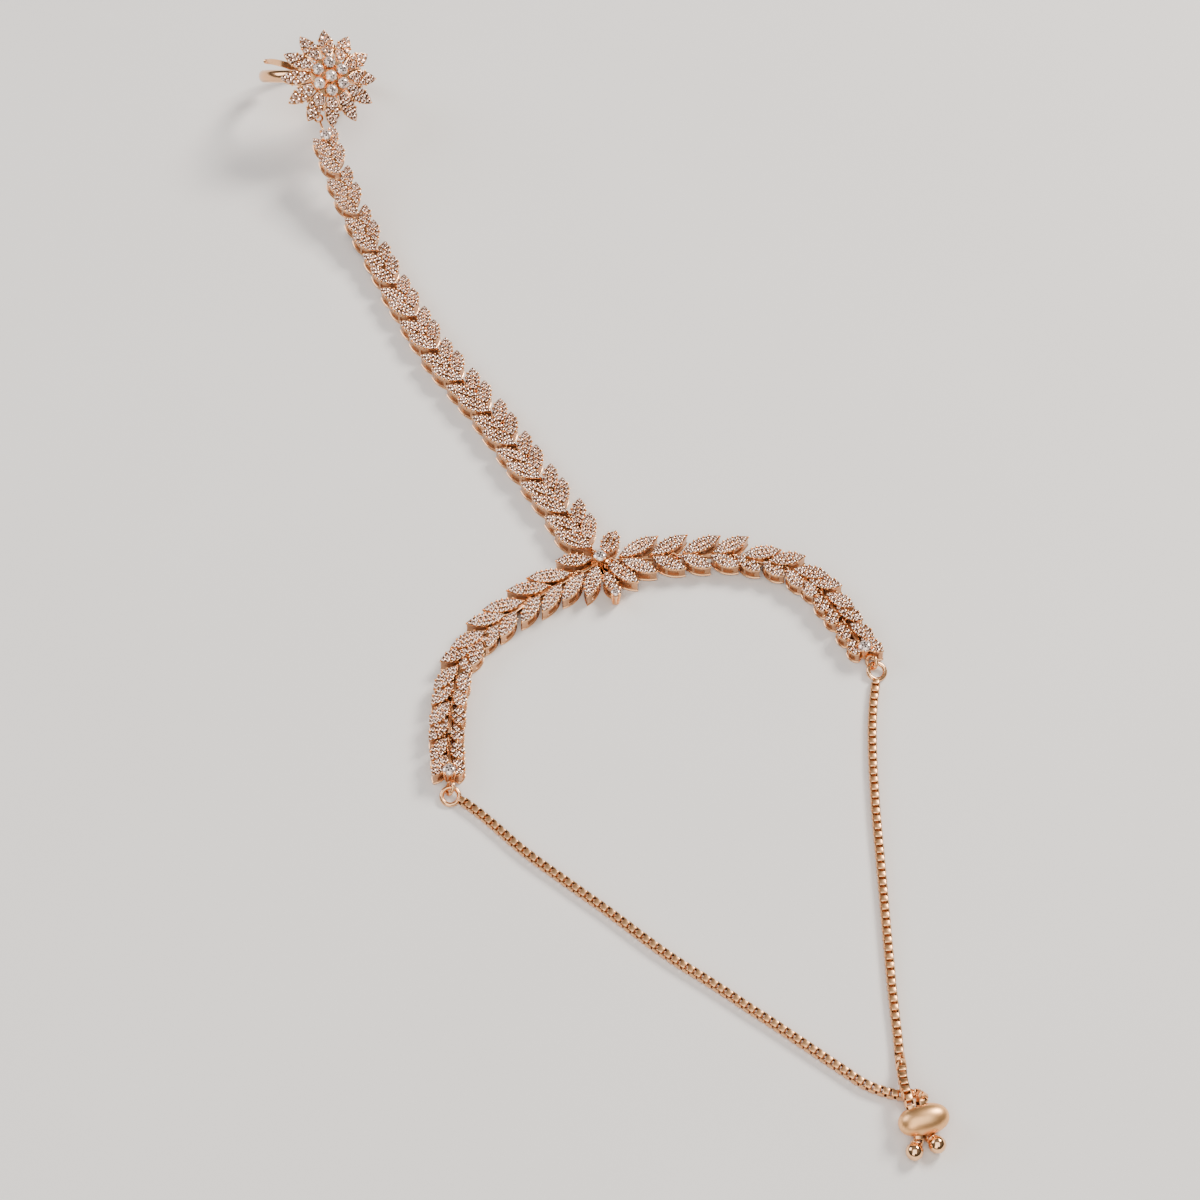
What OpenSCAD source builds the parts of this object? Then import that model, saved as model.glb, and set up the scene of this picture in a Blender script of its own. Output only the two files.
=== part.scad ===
// Hand harness: an open finger ring with a stone flower, a chain of leaf links across the back of the
// hand, a centre flower, two wings of leaf links round the wrist, and a sliding box-chain closure.
// It lies on a flat surface at z = 0. X points right, Y toward the finger, Z up.
// The origin is on the surface, under the stone of the centre flower.

/* [Leaf links] */
// Height of a leaf link from its underside to its top plate
link_h = 3.2; // [2.8:0.1:3.4]
// Thickness of the top plate that carries the stones
plate_t = 1.0; // [0.8:0.1:1.2]
// Wall of a hollow leaf
leaf_wall = 0.42; // [0.38:0.02:0.46]
// Long leaf at the centre end of the finger chain
finger_long_in = 7.6; // [7.4:0.1:7.8]
// Long leaf at the ring end of the finger chain
finger_long_out = 5.6; // [5.4:0.1:6]
// Short leaf at the centre end of the finger chain
finger_short_in = 6.3; // [6:0.1:6.5]
// Short leaf at the ring end of the finger chain
finger_short_out = 4.9; // [4.7:0.1:5.1]
// Long leaf at the centre end of a wing
wing_long_in = 8.2; // [7.8:0.1:8.4]
// Long leaf at the free end of a wing
wing_long_out = 4.6; // [4.4:0.1:4.8]
// Short leaf at the centre end of a wing
wing_short_in = 6.9; // [6.6:0.1:7]
// Short leaf at the free end of a wing
wing_short_out = 3.5; // [3.4:0.1:3.6]

/* [Hinges] */
// Mean radius of the small loops that join two links
loop_r = 0.75; // [0.7:0.01:0.78]
// Wire diameter of those loops
loop_wire = 0.44; // [0.4:0.02:0.46]
// Height of the loops above the underside of a link
hinge_z = 1.6; // [1.5:0.05:1.7]

/* [Finger ring] */
// Inner diameter of the finger ring
ring_bore = 18; // [17:0.5:19]
// Width of the band
band_w = 2.4; // [2:0.1:2.6]
// Thickness of the band
band_t = 1.4; // [1.2:0.1:1.5]
// Length of the twelve flower petals
petal_l = 6.2; // [6:0.1:6.4]
// Width of the petals
petal_w = 2.85; // [2.65:0.1:2.95]
// Radius of the circle through the petal tips
flower_r = 9.7; // [9.5:0.1:9.9]

/* [Closure] */
// Width of the box chain
chain_w = 1.5; // [1.3:0.1:1.6]
// Length of the slider bead, across the two chains
slider_l = 8.0; // [7.6:0.1:8.4]
// Diameter of the slider bead
slider_d = 4.8; // [4.6:0.1:5]
// Diameter of the two end beads
end_bead_d = 2.9; // [2.6:0.1:3]
// Outer diameter of the two end rings
end_ring_d = 3.6; // [3.5:0.1:3.8]
// Wire diameter of the end rings
end_ring_wire = 0.7; // [0.6:0.05:0.75]

/* [Hidden] */
$fn = 48;
eps = 0.01;
rose_gold = "#dca27c";

// Round stones and their collets
round_stone_d = 2.0;
collet_wall = 0.2;
stone_seat = 0.6;
end_lift = 0.2;
ring_foot_drop = 0.5;
wing_foot_z = 0.3;
cluster_mid_lift = 0.7;
cluster_side_lift = 0.4;
centre_foot_drop = 0.6;
centre_lift = 0.7;
bud_lift = 0.1;

// Rail under a link's leaves: its start past the first leaves and its end past the second pair
rail_w = 0.7;
rail_start = 0.2;
rail_over = 2.2;
rail_lap = 0.2;
rail_drop = 0.45;
rail_sink = 0.5;
// Bars to the hoops, and how far a bar's end bites into a hoop
bar_h = 0.8;
hoop_bite = 0.1;
flower_bite = 0.35;
// Stones at the far ends of the arms
ring_stone_x = 9.3;
wing_stone_x = 7.0;
stone_wire = 0.5;
// Clearance between links, and the step between one leaf and the one before it
link_gap = 0.15;
leaf_step = 0.05;
room_over = 1;
// Sideways start of a leaf when its short leaves lie flatter than the angle given
flat_angle = 20;
flat_over = 16;
long_share = 0.35;

// Eye at a wing's free end and the ring in it
end_eye_r = 1.15;
end_eye_wire = 0.45;
end_eye_tilt = 60;
end_eye_z = 1.25;
eye_out = 2.25;
end_ring_tilt = 16;
end_ring_z = 0.8;

// Centre flower
hub_r = 0.9;
flower_foot_r = 1.9;
flower_foot_h = 0.5;
bud_stone = [2.7, -7.1];
bud_stone_d = 1.5;
spoke_over = 0.6;
centre_petals = [
  // x, y, angle, length, width
  [0.7, 1.2, 65, 5.0, 3.0],
  [-1.3, -0.1, 183.5, 6.5, 2.5],
  [-0.4, -1.3, 255, 6.9, 2.6],
  [1.2, -0.8, -37, 6.8, 2.5],
  [0.9, -2.7, -67, 4.4, 2.2],
  [-3.0, -2.9, 239, 6.6, 2.5]
];

// Finger ring, in a frame where the finger goes through along y and the flower is up
ring_tilt = [46, 15, 15];
flower_lean = 16;
eye_reach = 7.2;
eye_turn = -18;
flower_eye = [eye_reach * sin(eye_turn), -eye_reach * cos(eye_turn), -3.2];
band_drop = 12.4;
band_round = 1.5;
band_from = -50;
band_sweep = 280;
free_from = -45;
free_to = -155;
free_rings = 20;
free_sides = 9;
free_tip_w = 0.9;
free_tip_t = 0.7;
band_shift = 2.8;
free_lift = 0.04;
free_inset = 0.1;
free_ease = 1.15;
petal_count = 12;
petal_slope = 14;
petal_t = 1.0;
head_r = 3.8;
head_t = 1.3;
head_sink = 0.2;
cluster_r = 2.7;
gallery_r = 5.8;
gallery_z = -1.8;
gallery_wire = 0.8;
saddle_l = 3;
saddle_w = 2.2;
saddle_over = 0.5;
seat_gap = 0.06;
eye_bead_d = 0.9;
eye_bead = [0, 1.25, 0.9];
eye_shift = 0.5;

// Closure: routes of the two box chains from their end rings to their end beads
chain_z = 0.76;
slider_at = [49.4, -102.8, 2.5];
slider_heading = -76;
slider_pitch = 22;
slot_h = 1.9;
slot_pitch = 1.7;
slot_shift = -0.7;
slot_reach = 2.5;
slider_steps = 16;
slider_bulge = 2.4;
slider_round = 2.2;
bead_bite = 0.5;
bead_hole_d = 1.9;
bead_1_at = [47.8, -107.5, 1.46];
bead_1_heading = -108;
bead_2_at = [51.3, -106.35, 1.46];
bead_2_heading = -50;
// Unit direction of the slider's slot
function slider_along() =
  [cos(slider_heading) * cos(slider_pitch), sin(slider_heading) * cos(slider_pitch), -sin(slider_pitch)];
// A point of a chain in the slider's slot: its side, and how far along the slot
function slider_point(side, reach) = slider_at
  + reach * slider_along()
  + (slot_shift + side * slot_pitch / 2) * [-sin(slider_heading), cos(slider_heading), 0];
// The point where a chain ends inside its bead
function bead_point(at, heading) = at - bead_bite * [cos(heading), sin(heading), 0];
right_route = concat(
  [
    [46.4, -24.6, 0.8],
    [45.9, -28, chain_z],
    [45.5, -32, chain_z],
    [45.3, -36, chain_z],
    [45.2, -40, chain_z],
    [45.2, -44, chain_z],
    [45.2, -48, chain_z],
    [45.3, -52, chain_z],
    [45.4, -56, chain_z],
    [45.5, -60, chain_z],
    [45.6, -64, chain_z],
    [45.7, -68, chain_z],
    [45.8, -72, chain_z],
    [45.9, -76, chain_z],
    [46.0, -80, chain_z],
    [46.2, -84, chain_z],
    [46.4, -88, chain_z],
    [46.5, -91, 0.9],
    [46.6, -93.7, 1.5],
    [46.6, -96.2, 2.5],
    [46.8, -98.3, 3.3],
    [47.05, -99.6, 3.58]
  ],
  [slider_point(-1, -slot_reach), slider_point(-1, 0), slider_point(-1, slot_reach)],
  [bead_point(bead_1_at, bead_1_heading)]
);
left_route = concat(
  [
    [-22.5, -46.3, 0.8],
    [-19.5, -49.0, chain_z],
    [-16.3, -52.0, chain_z],
    [-13, -55.2, chain_z],
    [-9.8, -57.9, chain_z],
    [-6.5, -60.5, chain_z],
    [-3.2, -63.1, chain_z],
    [0, -65.6, chain_z],
    [3.2, -68.2, chain_z],
    [6.4, -70.9, chain_z],
    [9.6, -73.5, chain_z],
    [12.8, -75.9, chain_z],
    [16.3, -78.3, chain_z],
    [19.8, -80.8, chain_z],
    [23.3, -83.4, chain_z],
    [26.8, -85.9, chain_z],
    [30.3, -88.5, chain_z],
    [33.8, -91.1, chain_z],
    [37.3, -93.7, chain_z],
    [40.8, -96.2, chain_z],
    [43.8, -97.5, chain_z],
    [46.2, -98.1, 0.9],
    [48.0, -98.2, 1.5],
    [49.2, -98.7, 2.4],
    [49.4, -99.6, 3.15]
  ],
  [slider_point(1, -slot_reach), slider_point(1, 0), slider_point(1, slot_reach)],
  [bead_point(bead_2_at, bead_2_heading)]
);

// Columns of an arm's rows, one row a link, counted outward from the centre flower
PITCH = 0;
HEADING = 1;
HINGE_Z = 2;
ROLL = 3;
LONG_ANGLE = 4;
SHORT_ANGLE = 5;
PAIR_GAP = 6;
STAGGER = 7;

// Columns of an arm
START = 0;
ROWS = 1;
LONG_SIDE = 2;
LEAF_SIZES = 3;
LEAF_WIDTHS = 4;
SHORT_SHIFT = 5;

// How far a link's first leaf starts beyond its hinge
first_leaf = 0.8;

// Leaf sizes run from the centre end to the far end: long in, long out, short in, short out,
// then how fast the short leaves shrink
finger_sizes = [finger_long_in, finger_long_out, finger_short_in, finger_short_out, 1];
wing_sizes = [wing_long_in, wing_long_out, wing_short_in, wing_short_out, 1.7];
// Leaf width: least width, and what each millimetre of length adds
finger_widths = [1.35, 0.2];
wing_widths = [2.3, 0.02];

// The last row of an arm holds the height and heading of what comes after the last link
finger_arm = [
  [-0.9, 1.55],
  [
    // pitch, heading, hinge height, roll, long leaf's angle, short leaf's angle, pair gap, stagger
    [8.66, 119, 1.6, 0, 34, 34, 3.75, 1.6],
    [8.66, 123, 1.6, 0, 30, 34, 3.75, 1.9],
    [8.66, 122, 1.6, 0, 31, 33, 3.75, 1.9],
    [8.66, 122, 1.6, 0, 31, 33, 3.75, 1.9],
    [8.66, 126, 1.6, 0, 29, 35, 3.75, 1.9],
    [8.66, 125, 1.6, 0, 30, 33, 3.75, 1.9],
    [8.66, 119, 1.6, 0, 30, 30, 3.75, 1.9],
    [8.66, 118, 1.6, 0, 29, 30, 3.75, 1.9],
    [8.66, 116, 1.6, 0, 27, 28, 3.75, 1.9],
    [8.66, 117, 2.0, 0, 28, 27, 3.75, 1.9],
    [8.66, 116, 3.75, 0, 29, 28, 3.75, 1.9],
    [14.2, 111, 6.5, 0, 28, 28, 3.75, 1.9],
    [0, 0, 10.46, 0, 0, 0, 0, 0]
  ],
  1, finger_sizes, finger_widths, 0.25
];

right_arm = [
  [2.35, 0.1],
  [
    [10.8, 5, 1.9, 4, 26, 27, 5.4, 0.4],
    [9.8, 0, 2.0, 5, 26, 25, 5.2, -0.3],
    [9.4, -15, 2.1, 6, 22, 22, 4.6, -1.0],
    [7.4, -40, 2.1, 6, 27, 14, 3.3, -0.9],
    [7.0, -58, 2.0, 5, 27, 5, 3.1, -0.8],
    [10.9, -60, 1.8, 3, 25, 3, 3.4, -1.0],
    [0, -60, 1.8, 0, 0, 0, 0, 0]
  ],
  1, wing_sizes, wing_widths, -0.3
];

left_arm = [
  [-4.0, -2.7],
  [
    [10.0, 214, 1.75, -2, 26, 28, 4.5, 2.6],
    [8.9, 222, 1.75, -2, 27, 23, 4.1, 2.3],
    [8.3, 235, 1.75, -2, 25, 19, 3.5, 2.0],
    [7.2, 261, 1.75, -2, 30, 9, 3.2, 0.7],
    [6.9, 267, 1.75, -2, 32, 4, 3.2, 0.5],
    [10.55, 273, 1.7, -1, 32, 3, 3.2, 0.5],
    [0, 273, 1.7, 0, 0, 0, 0, 0]
  ],
  -1, wing_sizes, wing_widths, -0.3
];

// Radius of the two arcs that bound a pointed leaf
function lens_r(l, w) = (l * l + w * w) / (4 * w);
function lerp(a, b, t) = a + (b - a) * t;

// Hinge points of an arm, found by walking outward from its start
function link_count(arm) = len(arm[ROWS]) - 1;
function rise(arm, i) = arm[ROWS][i + 1][HINGE_Z] - arm[ROWS][i][HINGE_Z];
function run(arm, i) = sqrt(pow(arm[ROWS][i][PITCH], 2) - pow(rise(arm, i), 2));
function hinge_xy(arm, i) = i == 0 ? arm[START] : hinge_xy(arm, i - 1) + run(arm, i - 1)
  * [cos(arm[ROWS][i - 1][HEADING]), sin(arm[ROWS][i - 1][HEADING])];
function hinge_point(arm, i) = concat(hinge_xy(arm, i), [arm[ROWS][i][HINGE_Z]]);
function slope(arm, i) = asin(rise(arm, i) / arm[ROWS][i][PITCH]);

// The four leaves of a link: start along the link, start to the side, angle, length, width
function pair_x(arm, i, p) = first_leaf + p * arm[ROWS][i][PAIR_GAP];
function leaf_t(arm, i, p) = (2 * i + p) / (2 * link_count(arm) - 1);
function side_shift(arm, i) = max(0, flat_angle - arm[ROWS][i][SHORT_ANGLE]) / flat_over;
function leaf_w(arm, l) = arm[LEAF_WIDTHS][0] + arm[LEAF_WIDTHS][1] * l;
function leaf_row(arm, x, y, angle, l) = [x, y, angle, l, leaf_w(arm, l)];
function long_leaf(arm, i, p) = leaf_row(
  arm,
  pair_x(arm, i, p) + max(0, -arm[ROWS][i][STAGGER]),
  arm[LONG_SIDE] * side_shift(arm, i) * long_share,
  arm[LONG_SIDE] * arm[ROWS][i][LONG_ANGLE],
  lerp(arm[LEAF_SIZES][0], arm[LEAF_SIZES][1], leaf_t(arm, i, p))
);
function short_leaf(arm, i, p) = leaf_row(
  arm,
  pair_x(arm, i, p) + max(0, arm[ROWS][i][STAGGER]),
  arm[LONG_SIDE] * (arm[SHORT_SHIFT] - side_shift(arm, i)),
  -arm[LONG_SIDE] * arm[ROWS][i][SHORT_ANGLE],
  lerp(arm[LEAF_SIZES][3], arm[LEAF_SIZES][2], pow(1 - leaf_t(arm, i, p), arm[LEAF_SIZES][4]))
);
function link_leaves(arm, i) = [for (p = [0, 1]) each [long_leaf(arm, i, p), short_leaf(arm, i, p)]];

// Pointed leaf outline from [0, 0] to [l, 0]; inset moves it inward all round
module leaf_2d(l, w, inset = 0) {
  r = lens_r(l, w);
  intersection() {
    translate([l / 2, w / 2 - r]) circle(r - inset);
    translate([l / 2, r - w / 2]) circle(r - inset);
  }
}

// Leaf prism standing on z = 0
module leaf_body(leaf, h) {
  translate([leaf[0], leaf[1], 0])
    rotate([0, 0, leaf[2]])
      linear_extrude(h) leaf_2d(leaf[3], leaf[4]);
}

// Hollow below the top plate of a leaf
module leaf_hollow(leaf, h) {
  translate([leaf[0], leaf[1], -eps])
    rotate([0, 0, leaf[2]])
      linear_extrude(h - plate_t) leaf_2d(leaf[3], leaf[4], leaf_wall);
}

// Leaves soldered side by side into one hollow piece, each a little lower than the one before it
module leaf_group(leaves, h) {
  difference() {
    for (k = [0 : len(leaves) - 1]) leaf_body(leaves[k], h - k * leaf_step);
    for (k = [0 : len(leaves) - 1]) leaf_hollow(leaves[k], h - k * leaf_step);
  }
}

module wire_loop(r, wire) {
  rotate_extrude() translate([r, 0]) circle(d = wire);
}

// Standing eye at a link's inner end, just past its hinge at x = 0
module inner_eye() {
  translate([loop_r / 2, 0, hinge_z]) rotate([90, 0, 0]) wire_loop(loop_r, loop_wire);
}

// Lying hoop at a link's outer end, just before the next hinge at x
module outer_hoop(x) {
  translate([x - loop_r / 2, 0, hinge_z]) wire_loop(loop_r, loop_wire);
}

// Round collet with its stone seat
module collet(h, stone_d = round_stone_d) {
  difference() {
    cylinder(h = h, r = stone_d / 2 + collet_wall);
    translate([0, 0, h - stone_seat]) cylinder(h = stone_seat + 1, r = stone_d / 2);
  }
}

function rail_end(arm, i) = pair_x(arm, i, 1) + rail_over;

// Square bar along x
module bar(x0, x1, w, z0, z1) {
  translate([x0, -w / 2, z0]) cube([x1 - x0, w, z1 - z0]);
}

// Bar centred on the hinge's height, from the end of the rail
module hinge_bar(arm, i, x1) {
  bar(rail_end(arm, i) - rail_lap, x1, rail_w, hinge_z - bar_h / 2, hinge_z + bar_h / 2);
}

// Room a link's eye and leaves need; the link before it is cut back to this
module link_room(arm, i) {
  eye_room = 2 * loop_r + loop_wire + 2 * link_gap;
  translate([loop_r / 2, 0, hinge_z]) cube([eye_room, loop_wire + 2 * link_gap, eye_room], center = true);
  bar(first_leaf, rail_end(arm, i), rail_w + 2 * link_gap, -room_over, link_h - rail_sink + link_gap);
  for (leaf = link_leaves(arm, i))
    translate([leaf[0], leaf[1], -room_over])
      rotate([0, 0, leaf[2]])
        linear_extrude(link_h + 2 * room_over) leaf_2d(leaf[3], leaf[4], -link_gap);
}

// The leaves of a link, cut back where the next link's leaves lie
module trimmed_leaves(arm, i) {
  difference() {
    at_link(arm, i) leaf_group(link_leaves(arm, i), link_h);
    if (i < link_count(arm) - 1) at_link(arm, i + 1) link_room(arm, i + 1);
  }
}

// Rail and inner eye of a link in its own frame: x runs outward, the hinge is above the origin
module link_rail(arm, i) {
  bar(first_leaf + rail_start, rail_end(arm, i), rail_w, hinge_z - rail_drop, link_h - rail_sink);
  inner_eye();
}

// A link with another link after it
module middle_link(arm, i) {
  pitch = arm[ROWS][i][PITCH];
  link_rail(arm, i);
  hinge_bar(arm, i, pitch - loop_r * 1.5 + hoop_bite);
  outer_hoop(pitch);
}

// The link at the finger ring: a round stone, then a thin wire to the ring
module ring_end_link(arm, i) {
  pitch = arm[ROWS][i][PITCH];
  link_rail(arm, i);
  hinge_bar(arm, i, ring_stone_x);
  translate([ring_stone_x, 0, hinge_z - ring_foot_drop])
    collet(link_h + end_lift - hinge_z + ring_foot_drop);
  translate([ring_stone_x, 0, hinge_z]) rotate([0, 90, 0])
    cylinder(h = pitch - ring_stone_x - loop_r * 1.5 + hoop_bite / 2, d = stone_wire);
  outer_hoop(pitch);
}

// The link at a wing's free end: a round stone, then an eye for the end ring
module wing_end_link(arm, i) {
  link_rail(arm, i);
  hinge_bar(arm, i, wing_stone_x);
  translate([wing_stone_x, 0, wing_foot_z]) collet(link_h + end_lift - wing_foot_z);
  translate([wing_stone_x + eye_out, 0, end_eye_z]) rotate([end_eye_tilt, 0, 0])
    wire_loop(end_eye_r, end_eye_wire);
}

// Puts a link, or what sits on it, at its place along the arm
module at_link(arm, i) {
  translate(hinge_point(arm, i))
    rotate([0, 0, arm[ROWS][i][HEADING]])
      rotate([arm[ROWS][i][ROLL], -slope(arm, i), 0])
        translate([0, 0, -hinge_z]) children();
}

module arm_link(arm, i) {
  color(rose_gold) {
    trimmed_leaves(arm, i);
    at_link(arm, i) {
      if (i < link_count(arm) - 1) middle_link(arm, i);
      else if (arm == finger_arm) ring_end_link(arm, i);
      else wing_end_link(arm, i);
    }
  }
}

// End ring, its near side lifted through the eye and its far side on the surface
module end_ring(arm) {
  n = link_count(arm);
  color(rose_gold)
    translate(concat(hinge_xy(arm, n), [end_ring_z]))
      rotate([0, end_ring_tilt, arm[ROWS][n][HEADING]])
        wire_loop((end_ring_d - end_ring_wire) / 2, end_ring_wire);
}

// Centre flower: a round stone among petals, on a foot, with a hoop for each arm
module centre_flower() {
  color(rose_gold) {
    leaf_group(centre_petals, link_h);
    cylinder(h = flower_foot_h, r = flower_foot_r);
    cylinder(h = link_h, r = hub_r);
    translate([0, 0, link_h - centre_foot_drop]) collet(centre_foot_drop + centre_lift);
    for (petal = centre_petals)
      rotate([0, 0, atan2(petal[1], petal[0])])
        bar(0, norm([petal[0], petal[1]]) + spoke_over, rail_w, 0, flower_foot_h);
    translate(concat(bud_stone, [0])) collet(link_h + bud_lift, bud_stone_d);
    for (arm = [finger_arm, right_arm, left_arm]) flower_hoop(arm);
  }
}

// Bar and hoop that reach from the hub to the first hinge of an arm
module flower_hoop(arm) {
  reach = norm(arm[START]) - loop_r;
  first_z = arm[ROWS][0][HINGE_Z];
  hinge_lift = first_z - hinge_z;
  rotate([0, 0, atan2(arm[START][1], arm[START][0])])
    bar(0, max(hub_r, reach - flower_bite), rail_w, first_z - bar_h / 2, first_z + bar_h / 2);
  translate(concat(arm[START], [hinge_lift]))
    rotate([0, 0, atan2(arm[START][1], arm[START][0])]) outer_hoop(0);
}

// Frame of the ring flower: its hoop meets the end of the finger chain
module flower_frame() {
  translate(hinge_point(finger_arm, link_count(finger_arm)))
    rotate(ring_tilt) rotate([-flower_lean, 0, 0])
      translate(-flower_eye) children();
}

// Frame of the band: the finger goes through along y, the flower is up
module band_frame() {
  flower_frame() rotate([flower_lean, 0, 0]) translate([0, 0, -band_drop]) children();
}

// Band section: flat inside, rounded outside
module band_section() {
  intersection() {
    translate([ring_bore / 2 + band_t - band_round, 0]) circle(band_round);
    translate([ring_bore / 2, -band_w / 2]) square([band_t, band_w]);
  }
}

// Slender free arm of the band, swept round from the flat part and shifted along the finger
function free_t(k) = k / free_rings;
function free_angle(k) = lerp(free_from, free_to, free_t(k));
function free_shift(k) = band_shift * pow(sin(90 * min(1, free_t(k) * free_ease)), 2);
function free_w(k) = lerp(band_w - free_inset, free_tip_w, pow(free_t(k), 0.8));
function free_thick(k) = lerp(band_t - free_inset, free_tip_t, free_t(k));
// Half-round section, counted from one inner edge over the outside to the other
function free_ring(k) = [for (j = [0 : free_sides - 1])
  let (
    a = 180 * j / (free_sides - 1),
    r = ring_bore / 2 + free_lift + free_thick(k) * sin(a),
    y = free_shift(k) - free_w(k) / 2 * cos(a)
  )
  [r * cos(free_angle(k)), y, r * sin(free_angle(k))]
];

module sweep(rings) {
  n = len(rings[0]);
  m = len(rings);
  polyhedron(
    points = [for (ring = rings) each ring],
    faces = concat(
      [[for (j = [n - 1 : -1 : 0]) j]],
      [[for (j = [0 : n - 1]) (m - 1) * n + j]],
      [for (k = [0 : m - 2]) for (j = [0 : n - 1])
        [k * n + j, k * n + (j + 1) % n, (k + 1) * n + (j + 1) % n, (k + 1) * n + j]]
    )
  );
}

// Open finger band: a true arc and one slender arm that passes beside its start
module ring_shank() {
  color(rose_gold) band_frame() {
    rotate([90, 0, 0]) rotate([0, 0, band_from])
      rotate_extrude(angle = band_sweep) band_section();
    sweep([for (k = [0 : free_rings]) free_ring(k)]);
  }
}

// Flower head of the ring: domed petals, seven round stones, an under-gallery and a saddle
module ring_flower() {
  color(rose_gold) {
    flower_frame() {
      for (k = [0 : petal_count - 1])
        rotate([0, 0, 360 * k / petal_count]) translate([flower_r - petal_l, 0, 0])
          rotate([0, petal_slope, 0]) translate([0, 0, -petal_t])
            linear_extrude(petal_t) leaf_2d(petal_l, petal_w);
      translate([0, 0, -head_t]) cylinder(h = head_t - head_sink, r = head_r);
      translate([0, 0, -head_t]) collet(head_t + cluster_mid_lift);
      for (k = [0 : 5])
        rotate([0, 0, 30 + 60 * k]) translate([cluster_r, 0, -head_t]) collet(head_t + cluster_side_lift);
      translate([0, 0, gallery_z]) wire_loop(gallery_r, gallery_wire);
      translate(flower_eye) rotate([0, 0, eye_turn]) {
        translate(eye_bead) sphere(d = eye_bead_d);
        translate([0, eye_shift, 0]) rotate([0, 90, 0]) wire_loop(loop_r, loop_wire);
      }
    }
    band_frame() difference() {
      translate([-saddle_l / 2, -saddle_w / 2, ring_bore / 2])
        cube([saddle_l, saddle_w, band_drop - ring_bore / 2 - head_t + saddle_over]);
      rotate([90, 0, 0]) cylinder(h = 2 * saddle_w, r = ring_bore / 2 + band_t + seat_gap, center = true);
    }
  }
}

// Box chain as one eight-sided tube along its route
function unit(v) = v / norm(v);
function route_dir(p, k) = unit(p[min(k + 1, len(p) - 1)] - p[max(k - 1, 0)]);
function tube_ring(c, d, w) = let (
    side = unit(cross(d, [0, 0, 1])),
    up = cross(side, d)
  )
  [for (j = [0 : 7]) c + w / 2 / cos(22.5) * (cos(45 * j + 22.5) * side + sin(45 * j + 22.5) * up)];

module chain_tube(route) {
  color(rose_gold)
    sweep([for (k = [0 : len(route) - 1]) tube_ring(route[k], route_dir(route, k), chain_w)]);
}

// Slider bead: turned shape with one slot for the two chains side by side
module slider_frame() {
  translate(slider_at) rotate([0, 0, slider_heading]) rotate([0, slider_pitch, 0]) children();
}

function slider_r(t) = slider_d / 2 * pow(max(0, 1 - pow(abs(t), slider_bulge)), 1 / slider_round);
function slider_rim(t) = [slider_r(t), t * slider_l / 2];

module slider_bead() {
  color(rose_gold) slider_frame() difference() {
    rotate([90, 0, 0]) rotate_extrude() polygon(concat(
      [[0, -slider_l / 2]],
      [for (k = [1 : slider_steps - 1]) slider_rim(-cos(180 * k / slider_steps))],
      [[0, slider_l / 2]]
    ));
    translate([0, slot_shift, 0]) {
      for (s = [-1, 1])
        translate([0, s * slot_pitch / 2, 0]) rotate([0, 90, 0])
          cylinder(h = 2 * slider_d, d = slot_h, center = true);
      cube([2 * slider_d, slot_pitch, slot_h], center = true);
    }
  }
}

// End bead with a blind hole for the end of its chain
module end_bead(at, heading) {
  color(rose_gold) translate(at) rotate([0, 0, heading]) difference() {
    sphere(d = end_bead_d);
    rotate([0, -90, 0]) cylinder(h = end_bead_d, d = bead_hole_d);
  }
}

// One line a node
ring_shank();
ring_flower();
arm_link(finger_arm, 0);  // finger_link_01
arm_link(finger_arm, 1);  // finger_link_02
arm_link(finger_arm, 2);  // finger_link_03
arm_link(finger_arm, 3);  // finger_link_04
arm_link(finger_arm, 4);  // finger_link_05
arm_link(finger_arm, 5);  // finger_link_06
arm_link(finger_arm, 6);  // finger_link_07
arm_link(finger_arm, 7);  // finger_link_08
arm_link(finger_arm, 8);  // finger_link_09
arm_link(finger_arm, 9);  // finger_link_10
arm_link(finger_arm, 10);  // finger_link_11
arm_link(finger_arm, 11);  // finger_link_12
centre_flower();
arm_link(right_arm, 0);  // right_wing_link_1
arm_link(right_arm, 1);  // right_wing_link_2
arm_link(right_arm, 2);  // right_wing_link_3
arm_link(right_arm, 3);  // right_wing_link_4
arm_link(right_arm, 4);  // right_wing_link_5
arm_link(right_arm, 5);  // right_wing_link_6
arm_link(left_arm, 0);  // left_wing_link_1
arm_link(left_arm, 1);  // left_wing_link_2
arm_link(left_arm, 2);  // left_wing_link_3
arm_link(left_arm, 3);  // left_wing_link_4
arm_link(left_arm, 4);  // left_wing_link_5
arm_link(left_arm, 5);  // left_wing_link_6
end_ring(right_arm);  // right_end_ring
end_ring(left_arm);  // left_end_ring
chain_tube(right_route);  // right_box_chain
chain_tube(left_route);  // left_box_chain
slider_bead();
end_bead(bead_1_at, bead_1_heading);  // end_bead_1
end_bead(bead_2_at, bead_2_heading);  // end_bead_2
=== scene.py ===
"""Looks of a rose gold hand harness: stone-set leaf links, a finger ring with a flower, a wrist closure."""

import logging
import math
from dataclasses import dataclass
from enum import Enum
from typing import Any, Callable, Sequence

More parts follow.
